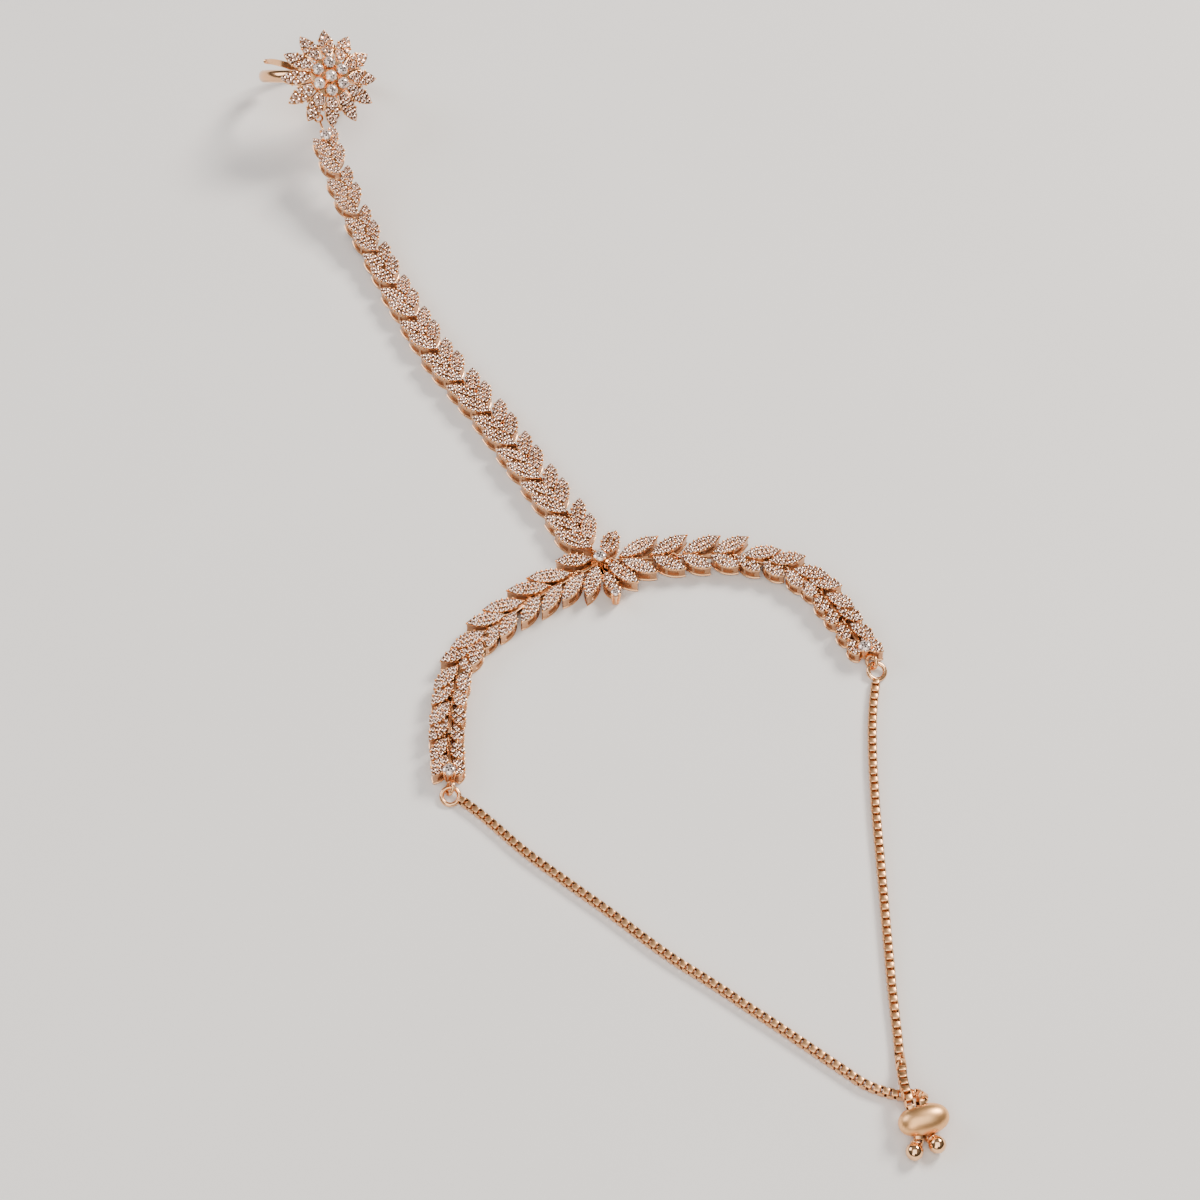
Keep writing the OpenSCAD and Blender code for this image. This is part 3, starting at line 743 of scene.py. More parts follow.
@dataclass(frozen=True)
class Pave:
    """How a leaf is set: a row of stones along each edge, one along the middle and grains between.

    pitch is the step from stone to stone in diameters, apart is how far an edge row keeps from the
    axis in radii, and least is the smallest stone of the middle row. may_hide is the share of a stone's
    radius that has to be free. spin and tilt are how unevenly the stones sit, in degrees. tip_grains
    are the first and last place of a tip's grains and the step between them.
    """

    stone: float = 0.79
    rim: float = 0.02
    pitch: float = 1.0
    least: float = 0.24
    apart: float = 1.04
    seat: float = 0.97
    stone_sunk: float = 0.02
    may_hide: float = 0.6
    spin: float = 45
    tilt: float = 9
    tip_rim: float = 0.04
    tip_share: float = 0.92
    grain_r: float = 0.2
    grain_least: float = 0.08
    grain_h: float = 0.28
    grain_sunk: float = 0.07
    beside_axis: float = 0.72
    tip_grains: tuple[float, float, float] = (0.18, 1.6, 0.3)

    def rows(self, leaf: Leaf) -> list[tuple[float, float]]:
        """Places the upper edge row's stones in the leaf's frame, from the start to the tip.

        Args:
            leaf: the leaf.

        Returns:
            One x, y pair a stone, or none if the leaf is too slender.
        """
        radius = leaf.arc - self.rim - self.stone / 2
        nearest = leaf.drop + self.stone / 2 * self.apart
        if nearest >= radius:
            return []
        reach = math.acos(nearest / radius)
        count = int(2 * reach * radius / (self.stone * self.pitch)) + 1
        angles = np.linspace(-reach, reach, count) if count > 1 else [0.0]
        return [(leaf.length / 2 + radius * math.sin(a), radius * math.cos(a) - leaf.drop) for a in angles]

    def stones(self, leaf: Leaf) -> list[tuple[float, float, float]]:
        """Places the stones: along both edges, at the ends and along the middle.

        Args:
            leaf: the leaf.

        Returns:
            One x, y and radius a stone.
        """
        half = self.stone / 2
        row = self.rows(leaf)
        placed = [(x, s * y, half) for x, y in row for s in (-1, 1)]
        ends = [(row[0], -1), (row[-1], 1)] if row else [((leaf.length / 2, half), 0)]
        for (x, y), sign in ends:
            step = math.sqrt(max(0.0, (self.stone * self.pitch) ** 2 - y * y)) * sign
            room = leaf.depth(x + step, 0.0) - self.tip_rim
            if room > half / 2:
                placed.append((x + step, 0.0, min(half, room) * self.tip_share))
        for (x0, y0), (x1, y1) in zip(row, row[1:]):
            free = math.hypot((x1 - x0) / 2, (y0 + y1) / 2) - half
            radius = min(half, free, (x1 - x0) / 2)
            if radius > self.least:
                placed.append(((x0 + x1) / 2, 0.0, radius))
        return placed

    def dress(self, assembly: Assembly, leaf: Leaf, matrix: Matrix4, top: float, blocked: Blocked) -> None:
        """Sets a leaf's stones and grains.

        Args:
            assembly: where the meshes go.
            leaf: the leaf.
            matrix: leaf frame to the row frame.
            top: height of the leaf's rim.
            blocked: whether a place in the leaf's frame belongs to what lies over it.
        """
        for x, y, room in self.stones(leaf):
            if not blocked(x, y, room * self.may_hide):
                radius = room * self.seat
                spin = turn("z", float(assembly.random.uniform(0, self.spin)))
                tilt = turn("x", float(assembly.random.uniform(-self.tilt, self.tilt)))
                place = shift(x, y, top - self.stone_sunk) @ spin @ tilt @ scale(radius, radius)
                assembly.add(SMALL_STONE, Finish.MELEE, matrix @ place)
        for x, y, radius in self.grains(leaf):
            if not blocked(x, y, radius):
                place = shift(x, y, top - self.grain_sunk) @ scale(radius, min(self.grain_h, radius * 1.3))
                assembly.add(GRAIN, Finish.BRIGHT, matrix @ place)

    def grains(self, leaf: Leaf) -> list[tuple[float, float, float]]:
        """Places the grains: on the axis, near both tips and along the edges.

        Args:
            leaf: the leaf.

        Returns:
            One x, y and radius a grain.
        """
        row = self.rows(leaf)
        stones = self.stones(leaf)
        placed = []
        for x, y in row[1:-1]:
            inner = y - self.stone / 2
            if inner > self.least:
                radius = min(0.19, 0.12 + inner * 0.18)
                placed += [(x, s * inner * self.beside_axis, radius) for s in (-1, 1)]
            else:
                placed.append((x, 0.0, max(0.13, min(0.3, inner * 0.8))))
        for back in np.arange(*self.tip_grains):
            for x in (leaf.length - back, back):
                free = [math.hypot(x - sx, sy) - size for sx, sy, size in stones]
                radius = min([self.grain_r, leaf.depth(x, 0.0) + 0.05] + free)
                if radius > self.grain_least:
                    placed.append((x, 0.0, radius))
        for (x0, y0), (x1, y1) in zip(row, row[1:]):
            out = np.array([(x0 + x1) / 2 - leaf.length / 2, (y0 + y1) / 2 + leaf.drop])
            out = out / np.linalg.norm(out) * leaf.arc
            for sign in (-1, 1):
                placed.append((leaf.length / 2 + out[0], (out[1] - leaf.drop) * sign, self.grain_r))
        return placed


@dataclass(frozen=True)
class LeafShell:
    """A hollow cast leaf: rim and stone bed on top, a wall below with shallow slots, open underneath.
    The slots' floors and the hollow are painted dark as shade, so that the slots look pierced.

    The profiles' columns are how far inside the outline and how far below the rim, or above the foot.
    """

    slot_low: float = 0.72
    slot_high: float = 2.05
    slot_depth: float = 0.3
    slot_edge: float = 0.01
    spans: tuple[tuple[float, float], ...] = ((0.16, 0.46), (0.54, 0.84))
    wall_in: float = 0.13
    bed_and_rim: tuple[tuple[float, float], ...] = (
        (0.19, 0.17),
        (0.15, 0.11),
        (0.10, 0.08),
        (0.04, 0.09),
        (0.00, 0.15),
        (0.00, 0.36),
        (0.03, 0.43),
        (0.11, 0.48),
        (0.13, 0.56),
    )
    foot: tuple[tuple[float, float], ...] = (
        (0.13, 0.44),
        (0.11, 0.36),
        (0.02, 0.31),
        (0.00, 0.25),
        (0.00, 0.07),
        (0.05, 0.00),
        (0.34, 0.00),
        (0.42, 0.07),
    )

    def fractions(self) -> list[float]:
        """Places along an arc: even ones, with close pairs where the slots begin and end.

        Returns:
            The places in order, from 0 to 1.
        """
        count, clear, half_pair = 21, 0.012, 0.006
        edges = [edge for span in self.spans for edge in span]
        even = [t for t in np.linspace(0, 1, count) if min(abs(t - edge) for edge in edges) > clear]
        return sorted(even + [edge + near for edge in edges for near in (-half_pair, half_pair)])

    def profile(self, top: float) -> list[tuple[float, float, bool]]:
        """Rings from the stone bed over the rim, down the wall and up inside.

        Args:
            top: height of the rim.

        Returns:
            Inset, height and whether the slot is cut there, a ring.
        """
        heights = [self.slot_high + self.slot_edge, self.slot_high - self.slot_edge]
        heights += [self.slot_low + self.slot_edge, self.slot_low - self.slot_edge]
        rings = [(inset, top - below, False) for inset, below in self.bed_and_rim]
        rings += [(self.wall_in, z, cut) for z, cut in zip(heights, (False, True, True, False))]
        rings += [(inset, z, False) for inset, z in self.foot]
        return rings + [(self.foot[-1][0], top - GAUGE.plate_t, False)]

    def build(
        self, assembly: Assembly, leaf: Leaf, matrix: Matrix4, top: float, trim: Trim, slots: bool
    ) -> None:
        """Adds a leaf's metal.

        Args:
            assembly: where the mesh goes.
            leaf: the leaf.
            matrix: leaf frame to the row frame.
            top: height of the rim in the link's frame.
            trim: keeps row-frame points clear of the next link, given a wall's inset.
            slots: whether the wall gets its shallow slots, with floors painted dark as shade.
        """
        places = self.fractions()
        cut_out = [any(first < t < last for first, last in self.spans) for t in places]
        cut = np.array(cut_out + cut_out[::-1][1:-1])
        rings = []
        for inset, z, pierced in self.profile(top):
            ring = leaf.outline(inset, places, z)
            if pierced and slots:
                ring[cut] = leaf.outline(inset + self.slot_depth, places, z)[cut]
            rings.append(trim(moved(matrix, ring), inset))
        assembly.add(loft(rings), self.ring_finishes(cut, slots))

    def ring_finishes(self, cut: Points, slots: bool) -> list[Finish]:
        """Gives each face its finish: bright rim and foot, satin wall, hollow and slots painted dark as
        shade.

        Args:
            cut: whether a slot is cut, for each point round the leaf.
            slots: whether the wall is pierced.

        Returns:
            One finish a face.
        """
        kinds: list[Finish] = []
        rings = self.profile(GAUGE.link_h)
        wall_low, wall_high = 0.4, GAUGE.link_h - 0.45
        hollow = len(rings) - 3
        for k in range(len(rings) - 1):
            wall = Finish.TUMBLED if wall_low < rings[k][1] < wall_high else Finish.POLISHED
            for j in range(len(cut)):
                in_slot = slots and rings[k][2] and rings[k + 1][2] and cut[j] and cut[(j + 1) % len(cut)]
                # The hollow and the slot floors take the dull finish, painted dark as shade
                kinds.append(Finish.INNER_SHADE if k >= hollow or in_slot else wall)
        # The stone bed's cap is painted dark as the shade between the stones, the hollow's cap as shade too
        return kinds + [Finish.SHADED_BED, Finish.INNER_SHADE]


@dataclass(frozen=True)
class LinkRow:
    """One link's place in its arm, as the frame has it: lengths in millimetres, angles in degrees."""

    pitch: float
    heading: float
    hinge_z: float
    roll: float = 0.0
    long_angle: float = 0.0
    short_angle: float = 0.0
    pair_gap: float = 0.0
    stagger: float = 0.0


class End(Enum):
    """What an arm ends in."""

    FINGER_RING = "finger ring"
    END_RING = "end ring"


@dataclass(frozen=True)
class Arm:
    """A run of links outward from the centre flower.

    long_l and short_l are the lengths of the long and the short leaves at the flower and at the far end.
    """

    name: str
    start: tuple[float, float]
    rows: tuple[LinkRow, ...]
    long_side: int
    end: End = End.END_RING
    long_l: tuple[float, float] = (8.2, 4.6)
    short_l: tuple[float, float] = (6.9, 3.5)
    short_fall: float = 1.7
    least_w: float = 2.3
    w_growth: float = 0.02
    short_shift: float = -0.3

    @property
    def links(self) -> int:
        """Number of links."""
        return len(self.rows) - 1

    def rise(self, i: int) -> float:
        """How much higher the next hinge is."""
        return self.rows[i + 1].hinge_z - self.rows[i].hinge_z

    def hinge(self, i: int) -> Points:
        """Hinge point of link i, found by walking outward from the start.

        Args:
            i: the link's number from 0, or the number of links for the arm's end.

        Returns:
            The point.
        """
        point = np.array(self.start, float)
        for k in range(i):
            run = math.sqrt(self.rows[k].pitch ** 2 - self.rise(k) ** 2)
            angle = math.radians(self.rows[k].heading)
            point = point + run * np.array([math.cos(angle), math.sin(angle)])
        return np.array([*point, self.rows[i].hinge_z])

    def frame(self, i: int) -> Matrix4:
        """Link frame to row frame: x runs outward and the hinge is above the origin.

        Args:
            i: the link's number from 0.

        Returns:
            The matrix.
        """
        row = self.rows[i]
        slope = math.degrees(math.asin(self.rise(i) / row.pitch))
        return (
            shift(*self.hinge(i))
            @ turn("z", row.heading)
            @ turn("y", -slope)
            @ turn("x", row.roll)
            @ shift(0, 0, -GAUGE.hinge_z)
        )

    def leaves(self, i: int) -> list[Leaf]:
        """The four leaves of link i: long and short of the first pair, then of the second.

        Args:
            i: the link's number from 0.

        Returns:
            The leaves in the link's frame, uppermost first.
        """
        row = self.rows[i]
        side = self.long_side
        # A short leaf that hardly turns is set farther out instead
        aside = max(0.0, 20 - row.short_angle) / 16
        made = []
        for pair in (0, 1):
            t = (2 * i + pair) / (2 * self.links - 1)
            first = GAUGE.first_leaf + pair * row.pair_gap
            long_l = self.long_l[0] + (self.long_l[1] - self.long_l[0]) * t
            short_l = self.short_l[1] + (self.short_l[0] - self.short_l[1]) * (1 - t) ** self.short_fall
            for x, y, angle, length in (
                (max(0.0, -row.stagger), aside * 0.35, row.long_angle, long_l),
                (max(0.0, row.stagger), self.short_shift - aside, -row.short_angle, short_l),
            ):
                width = self.least_w + self.w_growth * length
                made.append(Leaf(first + x, side * y, side * angle, length, width))
        return made


# Columns: pitch, heading, hinge_z, roll, long_angle, short_angle, pair_gap, stagger
FINGER_ARM = Arm(
    "finger",
    (-0.9, 1.55),
    (
        LinkRow(8.66, 119, 1.6, 0, 34, 34, 3.75, 1.6),
        LinkRow(8.66, 123, 1.6, 0, 30, 34, 3.75, 1.9),
        LinkRow(8.66, 122, 1.6, 0, 31, 33, 3.75, 1.9),
        LinkRow(8.66, 122, 1.6, 0, 31, 33, 3.75, 1.9),
        LinkRow(8.66, 126, 1.6, 0, 29, 35, 3.75, 1.9),
        LinkRow(8.66, 125, 1.6, 0, 30, 33, 3.75, 1.9),
        LinkRow(8.66, 119, 1.6, 0, 30, 30, 3.75, 1.9),
        LinkRow(8.66, 118, 1.6, 0, 29, 30, 3.75, 1.9),
        LinkRow(8.66, 116, 1.6, 0, 27, 28, 3.75, 1.9),
        LinkRow(8.66, 117, 2.0, 0, 28, 27, 3.75, 1.9),
        LinkRow(8.66, 116, 3.75, 0, 29, 28, 3.75, 1.9),
        LinkRow(14.2, 111, 6.5, 0, 28, 28, 3.75, 1.9),
        LinkRow(0, 0, 10.46),
    ),
    1,
    End.FINGER_RING,
    long_l=(7.6, 5.6),
    short_l=(6.3, 4.9),
    short_fall=1.0,
    least_w=1.35,
    w_growth=0.2,
    short_shift=0.25,
)
RIGHT_ARM = Arm(
    "right",
    (2.35, 0.1),
    (
        LinkRow(10.8, 5, 1.9, 4, 26, 27, 5.4, 0.4),
        LinkRow(9.8, 0, 2.0, 5, 26, 25, 5.2, -0.3),
        LinkRow(9.4, -15, 2.1, 6, 22, 22, 4.6, -1.0),
        LinkRow(7.4, -40, 2.1, 6, 27, 14, 3.3, -0.9),
        LinkRow(7.0, -58, 2.0, 5, 27, 5, 3.1, -0.8),
        LinkRow(10.9, -60, 1.8, 3, 25, 3, 3.4, -1.0),
        LinkRow(0, -60, 1.8),
    ),
    1,
)
LEFT_ARM = Arm(
    "left",
    (-4.0, -2.7),
    (
        LinkRow(10.0, 214, 1.75, -2, 26, 28, 4.5, 2.6),
        LinkRow(8.9, 222, 1.75, -2, 27, 23, 4.1, 2.3),
        LinkRow(8.3, 235, 1.75, -2, 25, 19, 3.5, 2.0),
        LinkRow(7.2, 261, 1.75, -2, 30, 9, 3.2, 0.7),
        LinkRow(6.9, 267, 1.75, -2, 32, 4, 3.2, 0.5),
        LinkRow(10.55, 273, 1.7, -1, 32, 3, 3.2, 0.5),
        LinkRow(0, 273, 1.7),
    ),
    -1,
)
WINGS = (RIGHT_ARM, LEFT_ARM)
ARMS = (FINGER_ARM, *WINGS)


@dataclass(frozen=True)
class RoundStone:
    """A round stone in a collet with bent claws."""

    diameter: float = 2.0
    claws: int = 4
    turn_by: float = 45.0
    claw_r: float = 0.2

    def build(self, assembly: Assembly, matrix: Matrix4, foot: float, top: float) -> None:
        """Adds collet, stone and claws.

        Args:
            assembly: where the meshes go.
            matrix: frame whose z axis runs up the collet.
            foot: height of the collet's underside.
            top: height of the collet's rim.
        """
        radius = self.diameter / 2
        outer = radius + GAUGE.collet_wall
        waist = (foot + top) / 2
        cup = [
            (outer - 0.6, foot),
            (outer - 0.45, foot),
            (outer - 0.38, foot + 0.06),
            (outer - 0.32, waist),
            (outer - 0.03, top - 0.2),
            (outer, top - 0.1),
            (outer - 0.05, top - 0.01),
            (radius - 0.02, top),
            (radius - 0.1, top - 0.12),
            (radius * 0.5, top - 0.3),
        ]
        assembly.add(lathe(cup, 28), Finish.POLISHED, matrix)
        stone = shift(0, 0, top + 0.03) @ scale(radius * 1.1, radius * 1.1)
        assembly.add(ROUND_STONE, Finish.ROUND, matrix @ stone)
        path = [
            (outer - 0.34, 0, foot + 0.25),
            (outer - 0.14, 0, waist),
            (outer + 0.04, 0, top - 0.1),
            (outer + 0.05, 0, top + 0.14),
            (outer - 0.03, 0, top + 0.3),
            (outer - 0.17, 0, top + 0.38),
        ]
        claw = tube(path, [self.claw_r * s for s in (0.75, 0.85, 0.9, 1, 1.05, 0.75)], 8)
        for k in range(self.claws):
            assembly.add(claw, Finish.BRIGHT, matrix @ turn("z", self.turn_by + 360 * k / self.claws))


@dataclass(frozen=True)
class LeafLink:
    """One rigid link of an arm."""

    arm: Arm
    index: int
    short_sunk: float = 0.16
    ring_stone_x: float = 9.3
    wing_stone_x: float = 7.0
    stone_wire: float = 0.5
    collet_over: float = 0.2
    eye_r: float = 1.15
    eye_wire: float = 0.6
    eye_tilt: float = 60.0
    eye_z: float = 1.25
    eye_out: float = 2.25

    @property
    def row(self) -> LinkRow:
        """The link's own row."""
        return self.arm.rows[self.index]

    @property
    def last(self) -> bool:
        """Whether no link comes after this one."""
        return self.index == self.arm.links - 1

    @property
    def node(self) -> str:
        """Name of the link's CAD node.

        Returns:
            The name.
        """
        if self.arm.end is End.FINGER_RING:
            return f"finger_link_{self.index + 1:02d}"
        return f"{self.arm.name}_wing_link_{self.index + 1}"

    def build(self) -> None:
        """Builds the link's leaves, rail, loops and end."""
        assembly = Assembly(self.node, self.index * 7 + len(self.arm.name))
        frame_of = self.arm.frame(self.index)
        for k, leaf in enumerate(self.arm.leaves(self.index)):
            top = GAUGE.link_h - k * GAUGE.step - (self.short_sunk if k % 2 else 0.0)
            matrix = frame_of @ leaf.matrix
            pierced = k % 2 == 0 or self.arm.end is End.END_RING
            LeafShell().build(assembly, leaf, matrix, top, self.trim, pierced)
            Pave().dress(assembly, leaf, matrix, top, self.blocked_in(matrix, k))
        self.add_rail(assembly, frame_of)
        if self.last and self.arm.end is End.FINGER_RING:
            self.add_ring_stone(assembly, frame_of)
        elif self.last:
            self.add_wing_end(assembly, frame_of)
        assembly.build()

    def trim(self, points: Points, inset: float) -> Points:
        """Keeps this link's metal clear of the next link's leaves, rail and eye.

        Args:
            points: points in the row frame.
            inset: how far inside the outline they lie, which is kept as wall.

        Returns:
            The points that result.
        """
        if self.last:
            return points
        ahead = self.arm.frame(self.index + 1)
        local = moved(np.linalg.inv(ahead), points)
        for leaf in self.arm.leaves(self.index + 1):
            inside = moved(np.linalg.inv(leaf.matrix), local)
            local = moved(leaf.matrix, leaf.clear(inside, GAUGE.gap + inset))
        eye_back, over_rail = -0.75, GAUGE.link_h - 0.5 + GAUGE.gap
        rail_end = GAUGE.first_leaf + self.arm.rows[self.index + 1].pair_gap + GAUGE.rail_past
        along = (local[:, 0] > eye_back) & (local[:, 0] < rail_end)
        over = along & (abs(local[:, 1]) < GAUGE.rail_w / 2 + GAUGE.gap)
        local[over, 2] = np.maximum(local[over, 2], over_rail)
        return moved(ahead, local)

    def blocked_in(self, matrix: Matrix4, order: int) -> Blocked:
        """Returns the test of whether a place in a leaf's frame lies on another leaf.

        Args:
            matrix: the leaf's frame to the row frame.
            order: the leaf's number in its link; the ones before it lie over it.

        Returns:
            Function of x, y and the free radius wanted there.
        """
        own = self.arm.frame(self.index)
        over = [(own @ leaf.matrix, leaf, 0.0) for leaf in self.arm.leaves(self.index)[:order]]
        if not self.last:
            ahead = self.arm.frame(self.index + 1)
            over += [(ahead @ leaf.matrix, leaf, GAUGE.gap) for leaf in self.arm.leaves(self.index + 1)]
        return covered(matrix, over)

    def add_rail(self, assembly: Assembly, matrix: Matrix4) -> None:
        """Adds the rail under the leaves, the standing eye and, between links, the lying hoop.

        Args:
            assembly: where the meshes go.
            matrix: link frame to row frame.
        """
        start = GAUGE.first_leaf + 0.2
        rail_end = GAUGE.first_leaf + self.row.pair_gap + GAUGE.rail_past
        low = GAUGE.hinge_z - 0.45
        rail = soft_bar(rail_end - start, GAUGE.link_h - GAUGE.plate_t - low)
        assembly.add(rail, Finish.TUMBLED, matrix @ shift(start, 0, low))
        stand = matrix @ shift(GAUGE.loop_r / 2, 0, GAUGE.hinge_z) @ turn("x", 90)
        assembly.add(LOOP, Finish.POLISHED, stand)
        if self.last:
            far = self.ring_stone_x if self.arm.end is End.FINGER_RING else self.wing_stone_x
        else:
            far = GAUGE.hoop_foot(self.row.pitch)
            self.add_hoop(assembly, matrix)
        near = rail_end - 0.2
        bar = soft_bar(far - near, GAUGE.bar_h)
        assembly.add(bar, Finish.TUMBLED, matrix @ shift(near, 0, GAUGE.hinge_z - GAUGE.bar_h / 2))

    def add_hoop(self, assembly: Assembly, matrix: Matrix4) -> None:
        """Adds the lying hoop at the link's far end."""
        hoop = matrix @ shift(GAUGE.hoop_x(self.row.pitch), 0, GAUGE.hinge_z)
        assembly.add(LOOP, Finish.POLISHED, hoop)

    def add_ring_stone(self, assembly: Assembly, matrix: Matrix4) -> None:
        """Adds the round stone, the thin wire and the hoop between the finger chain and the ring.

        Args:
            assembly: where the meshes go.
            matrix: link frame to row frame.
        """
        at = matrix @ shift(self.ring_stone_x, 0, 0)
        RoundStone().build(assembly, at, GAUGE.hinge_z - 0.5, GAUGE.link_h + self.collet_over)
        ends = [(x, 0, GAUGE.hinge_z) for x in (self.ring_stone_x, GAUGE.hoop_foot(self.row.pitch))]
        assembly.add(tube(ends, self.stone_wire / 2, 12), Finish.POLISHED, matrix)
        self.add_hoop(assembly, matrix)

    def add_wing_end(self, assembly: Assembly, matrix: Matrix4) -> None:
        """Adds the round stone and tilted eye at a wing's free end.

        Args:
            assembly: where the meshes go.
            matrix: link frame to row frame.
        """
        at = matrix @ shift(self.wing_stone_x, 0, 0)
        RoundStone().build(assembly, at, 0.3, GAUGE.link_h + self.collet_over)
        eye = matrix @ shift(self.wing_stone_x + self.eye_out, 0, self.eye_z) @ turn("x", self.eye_tilt)
        assembly.add(torus(self.eye_r, self.eye_wire, 36, 12), Finish.POLISHED, eye)


@dataclass(frozen=True)
class CentreFlower:
    """The flower on the back of the hand: a round stone among six leaf petals, and a small stone below."""

    petals: tuple[Leaf, ...] = (
        Leaf(0.7, 1.2, 65, 5.0, 3.0),
        Leaf(-1.3, -0.1, 183.5, 6.5, 2.5),
        Leaf(-0.4, -1.3, 255, 6.9, 2.6),
        Leaf(1.2, -0.8, -37, 6.8, 2.5),
        Leaf(0.9, -2.7, -67, 4.4, 2.2),
        Leaf(-3.0, -2.9, 239, 6.6, 2.5),
    )
    hub_r: float = 0.9
    foot_r: float = 1.9
    foot_h: float = 0.5
    spoke_beyond: float = 0.6
    collet_clear: float = 1.15
    bud: tuple[float, float] = (2.7, -7.1)
    bud_d: float = 1.5

    def build(self) -> None:
        """Builds petals, spokes, foot, hub, round stones and the hoops of the three arms."""
        assembly = Assembly("centre_flower", 5)
        for k, petal in enumerate(self.petals):
            top = GAUGE.link_h - k * GAUGE.step
            LeafShell().build(assembly, petal, petal.matrix, top, lambda points, inset: points, True)
            Pave().dress(assembly, petal, petal.matrix, top, self.hidden_at(petal, k))
            spoke = soft_bar(math.hypot(petal.x, petal.y) + self.spoke_beyond, self.foot_h)
            around = turn("z", math.degrees(math.atan2(petal.y, petal.x)))
            assembly.add(spoke, Finish.POLISHED, around)
        foot = [(0.4, 0), (self.foot_r - 0.1, 0), (self.foot_r, 0.08)]
        foot += [(self.foot_r, self.foot_h - 0.1), (self.foot_r - 0.2, self.foot_h), (0.5, self.foot_h)]
        assembly.add(lathe(foot, 36), Finish.POLISHED)
        hub = [(self.hub_r, 0.3), (self.hub_r, GAUGE.link_h)]
        assembly.add(lathe(hub, 24), Finish.POLISHED)
        RoundStone().build(assembly, np.eye(4), GAUGE.link_h - 0.6, GAUGE.link_h + 0.7)
        RoundStone(self.bud_d).build(assembly, shift(*self.bud, 0), 0.0, GAUGE.link_h + 0.1)
        for arm in ARMS:
            self.add_hoop(assembly, arm)
        assembly.build()

    def hidden_at(self, petal: Leaf, order: int) -> Blocked:
        """Returns the test of whether a place in a petal's frame lies under a collet or another petal.

        Args:
            petal: the petal.
            order: its number; the ones before it lie over it.

        Returns:
            Function of x, y and the free radius wanted there.
        """
        over = [(other.matrix, other, 0.0) for other in self.petals[:order]]
        blocked = covered(petal.matrix, over)

        def hidden(x: float, y: float, room: float) -> bool:
            """Whether a collet or a petal reaches nearer than room to the place.

            Args:
                x: place along the leaf.
                y: place across the leaf.
                room: free radius wanted there.

            Returns:
                Whether the place is taken.
            """
            px, py, _ = moved(petal.matrix, np.array([[x, y, 0.0]]))[0]
            centre = math.hypot(px, py) < self.collet_clear + room
            bud_r = self.bud_d / 2 + GAUGE.collet_wall
            bud = math.hypot(px - self.bud[0], py - self.bud[1]) < bud_r + room
            return centre or bud or blocked(x, y, room)

        return hidden

    def add_hoop(self, assembly: Assembly, arm: Arm) -> None:
        """Adds the bar and lying hoop for an arm's first link.

        Args:
            assembly: where the meshes go.
            arm: the arm that hangs on the hoop.
        """
        x, y = arm.start
        hinge_z = arm.rows[0].hinge_z
        around = turn("z", math.degrees(math.atan2(y, x)))
        bar = soft_bar(max(self.hub_r, math.hypot(x, y) - GAUGE.loop_r - 0.35), GAUGE.bar_h)
        assembly.add(bar, Finish.POLISHED, around @ shift(0, 0, hinge_z - GAUGE.bar_h / 2))
        hoop = shift(x, y, hinge_z) @ around @ shift(-GAUGE.loop_r / 2, 0, 0)
        assembly.add(LOOP, Finish.POLISHED, hoop)


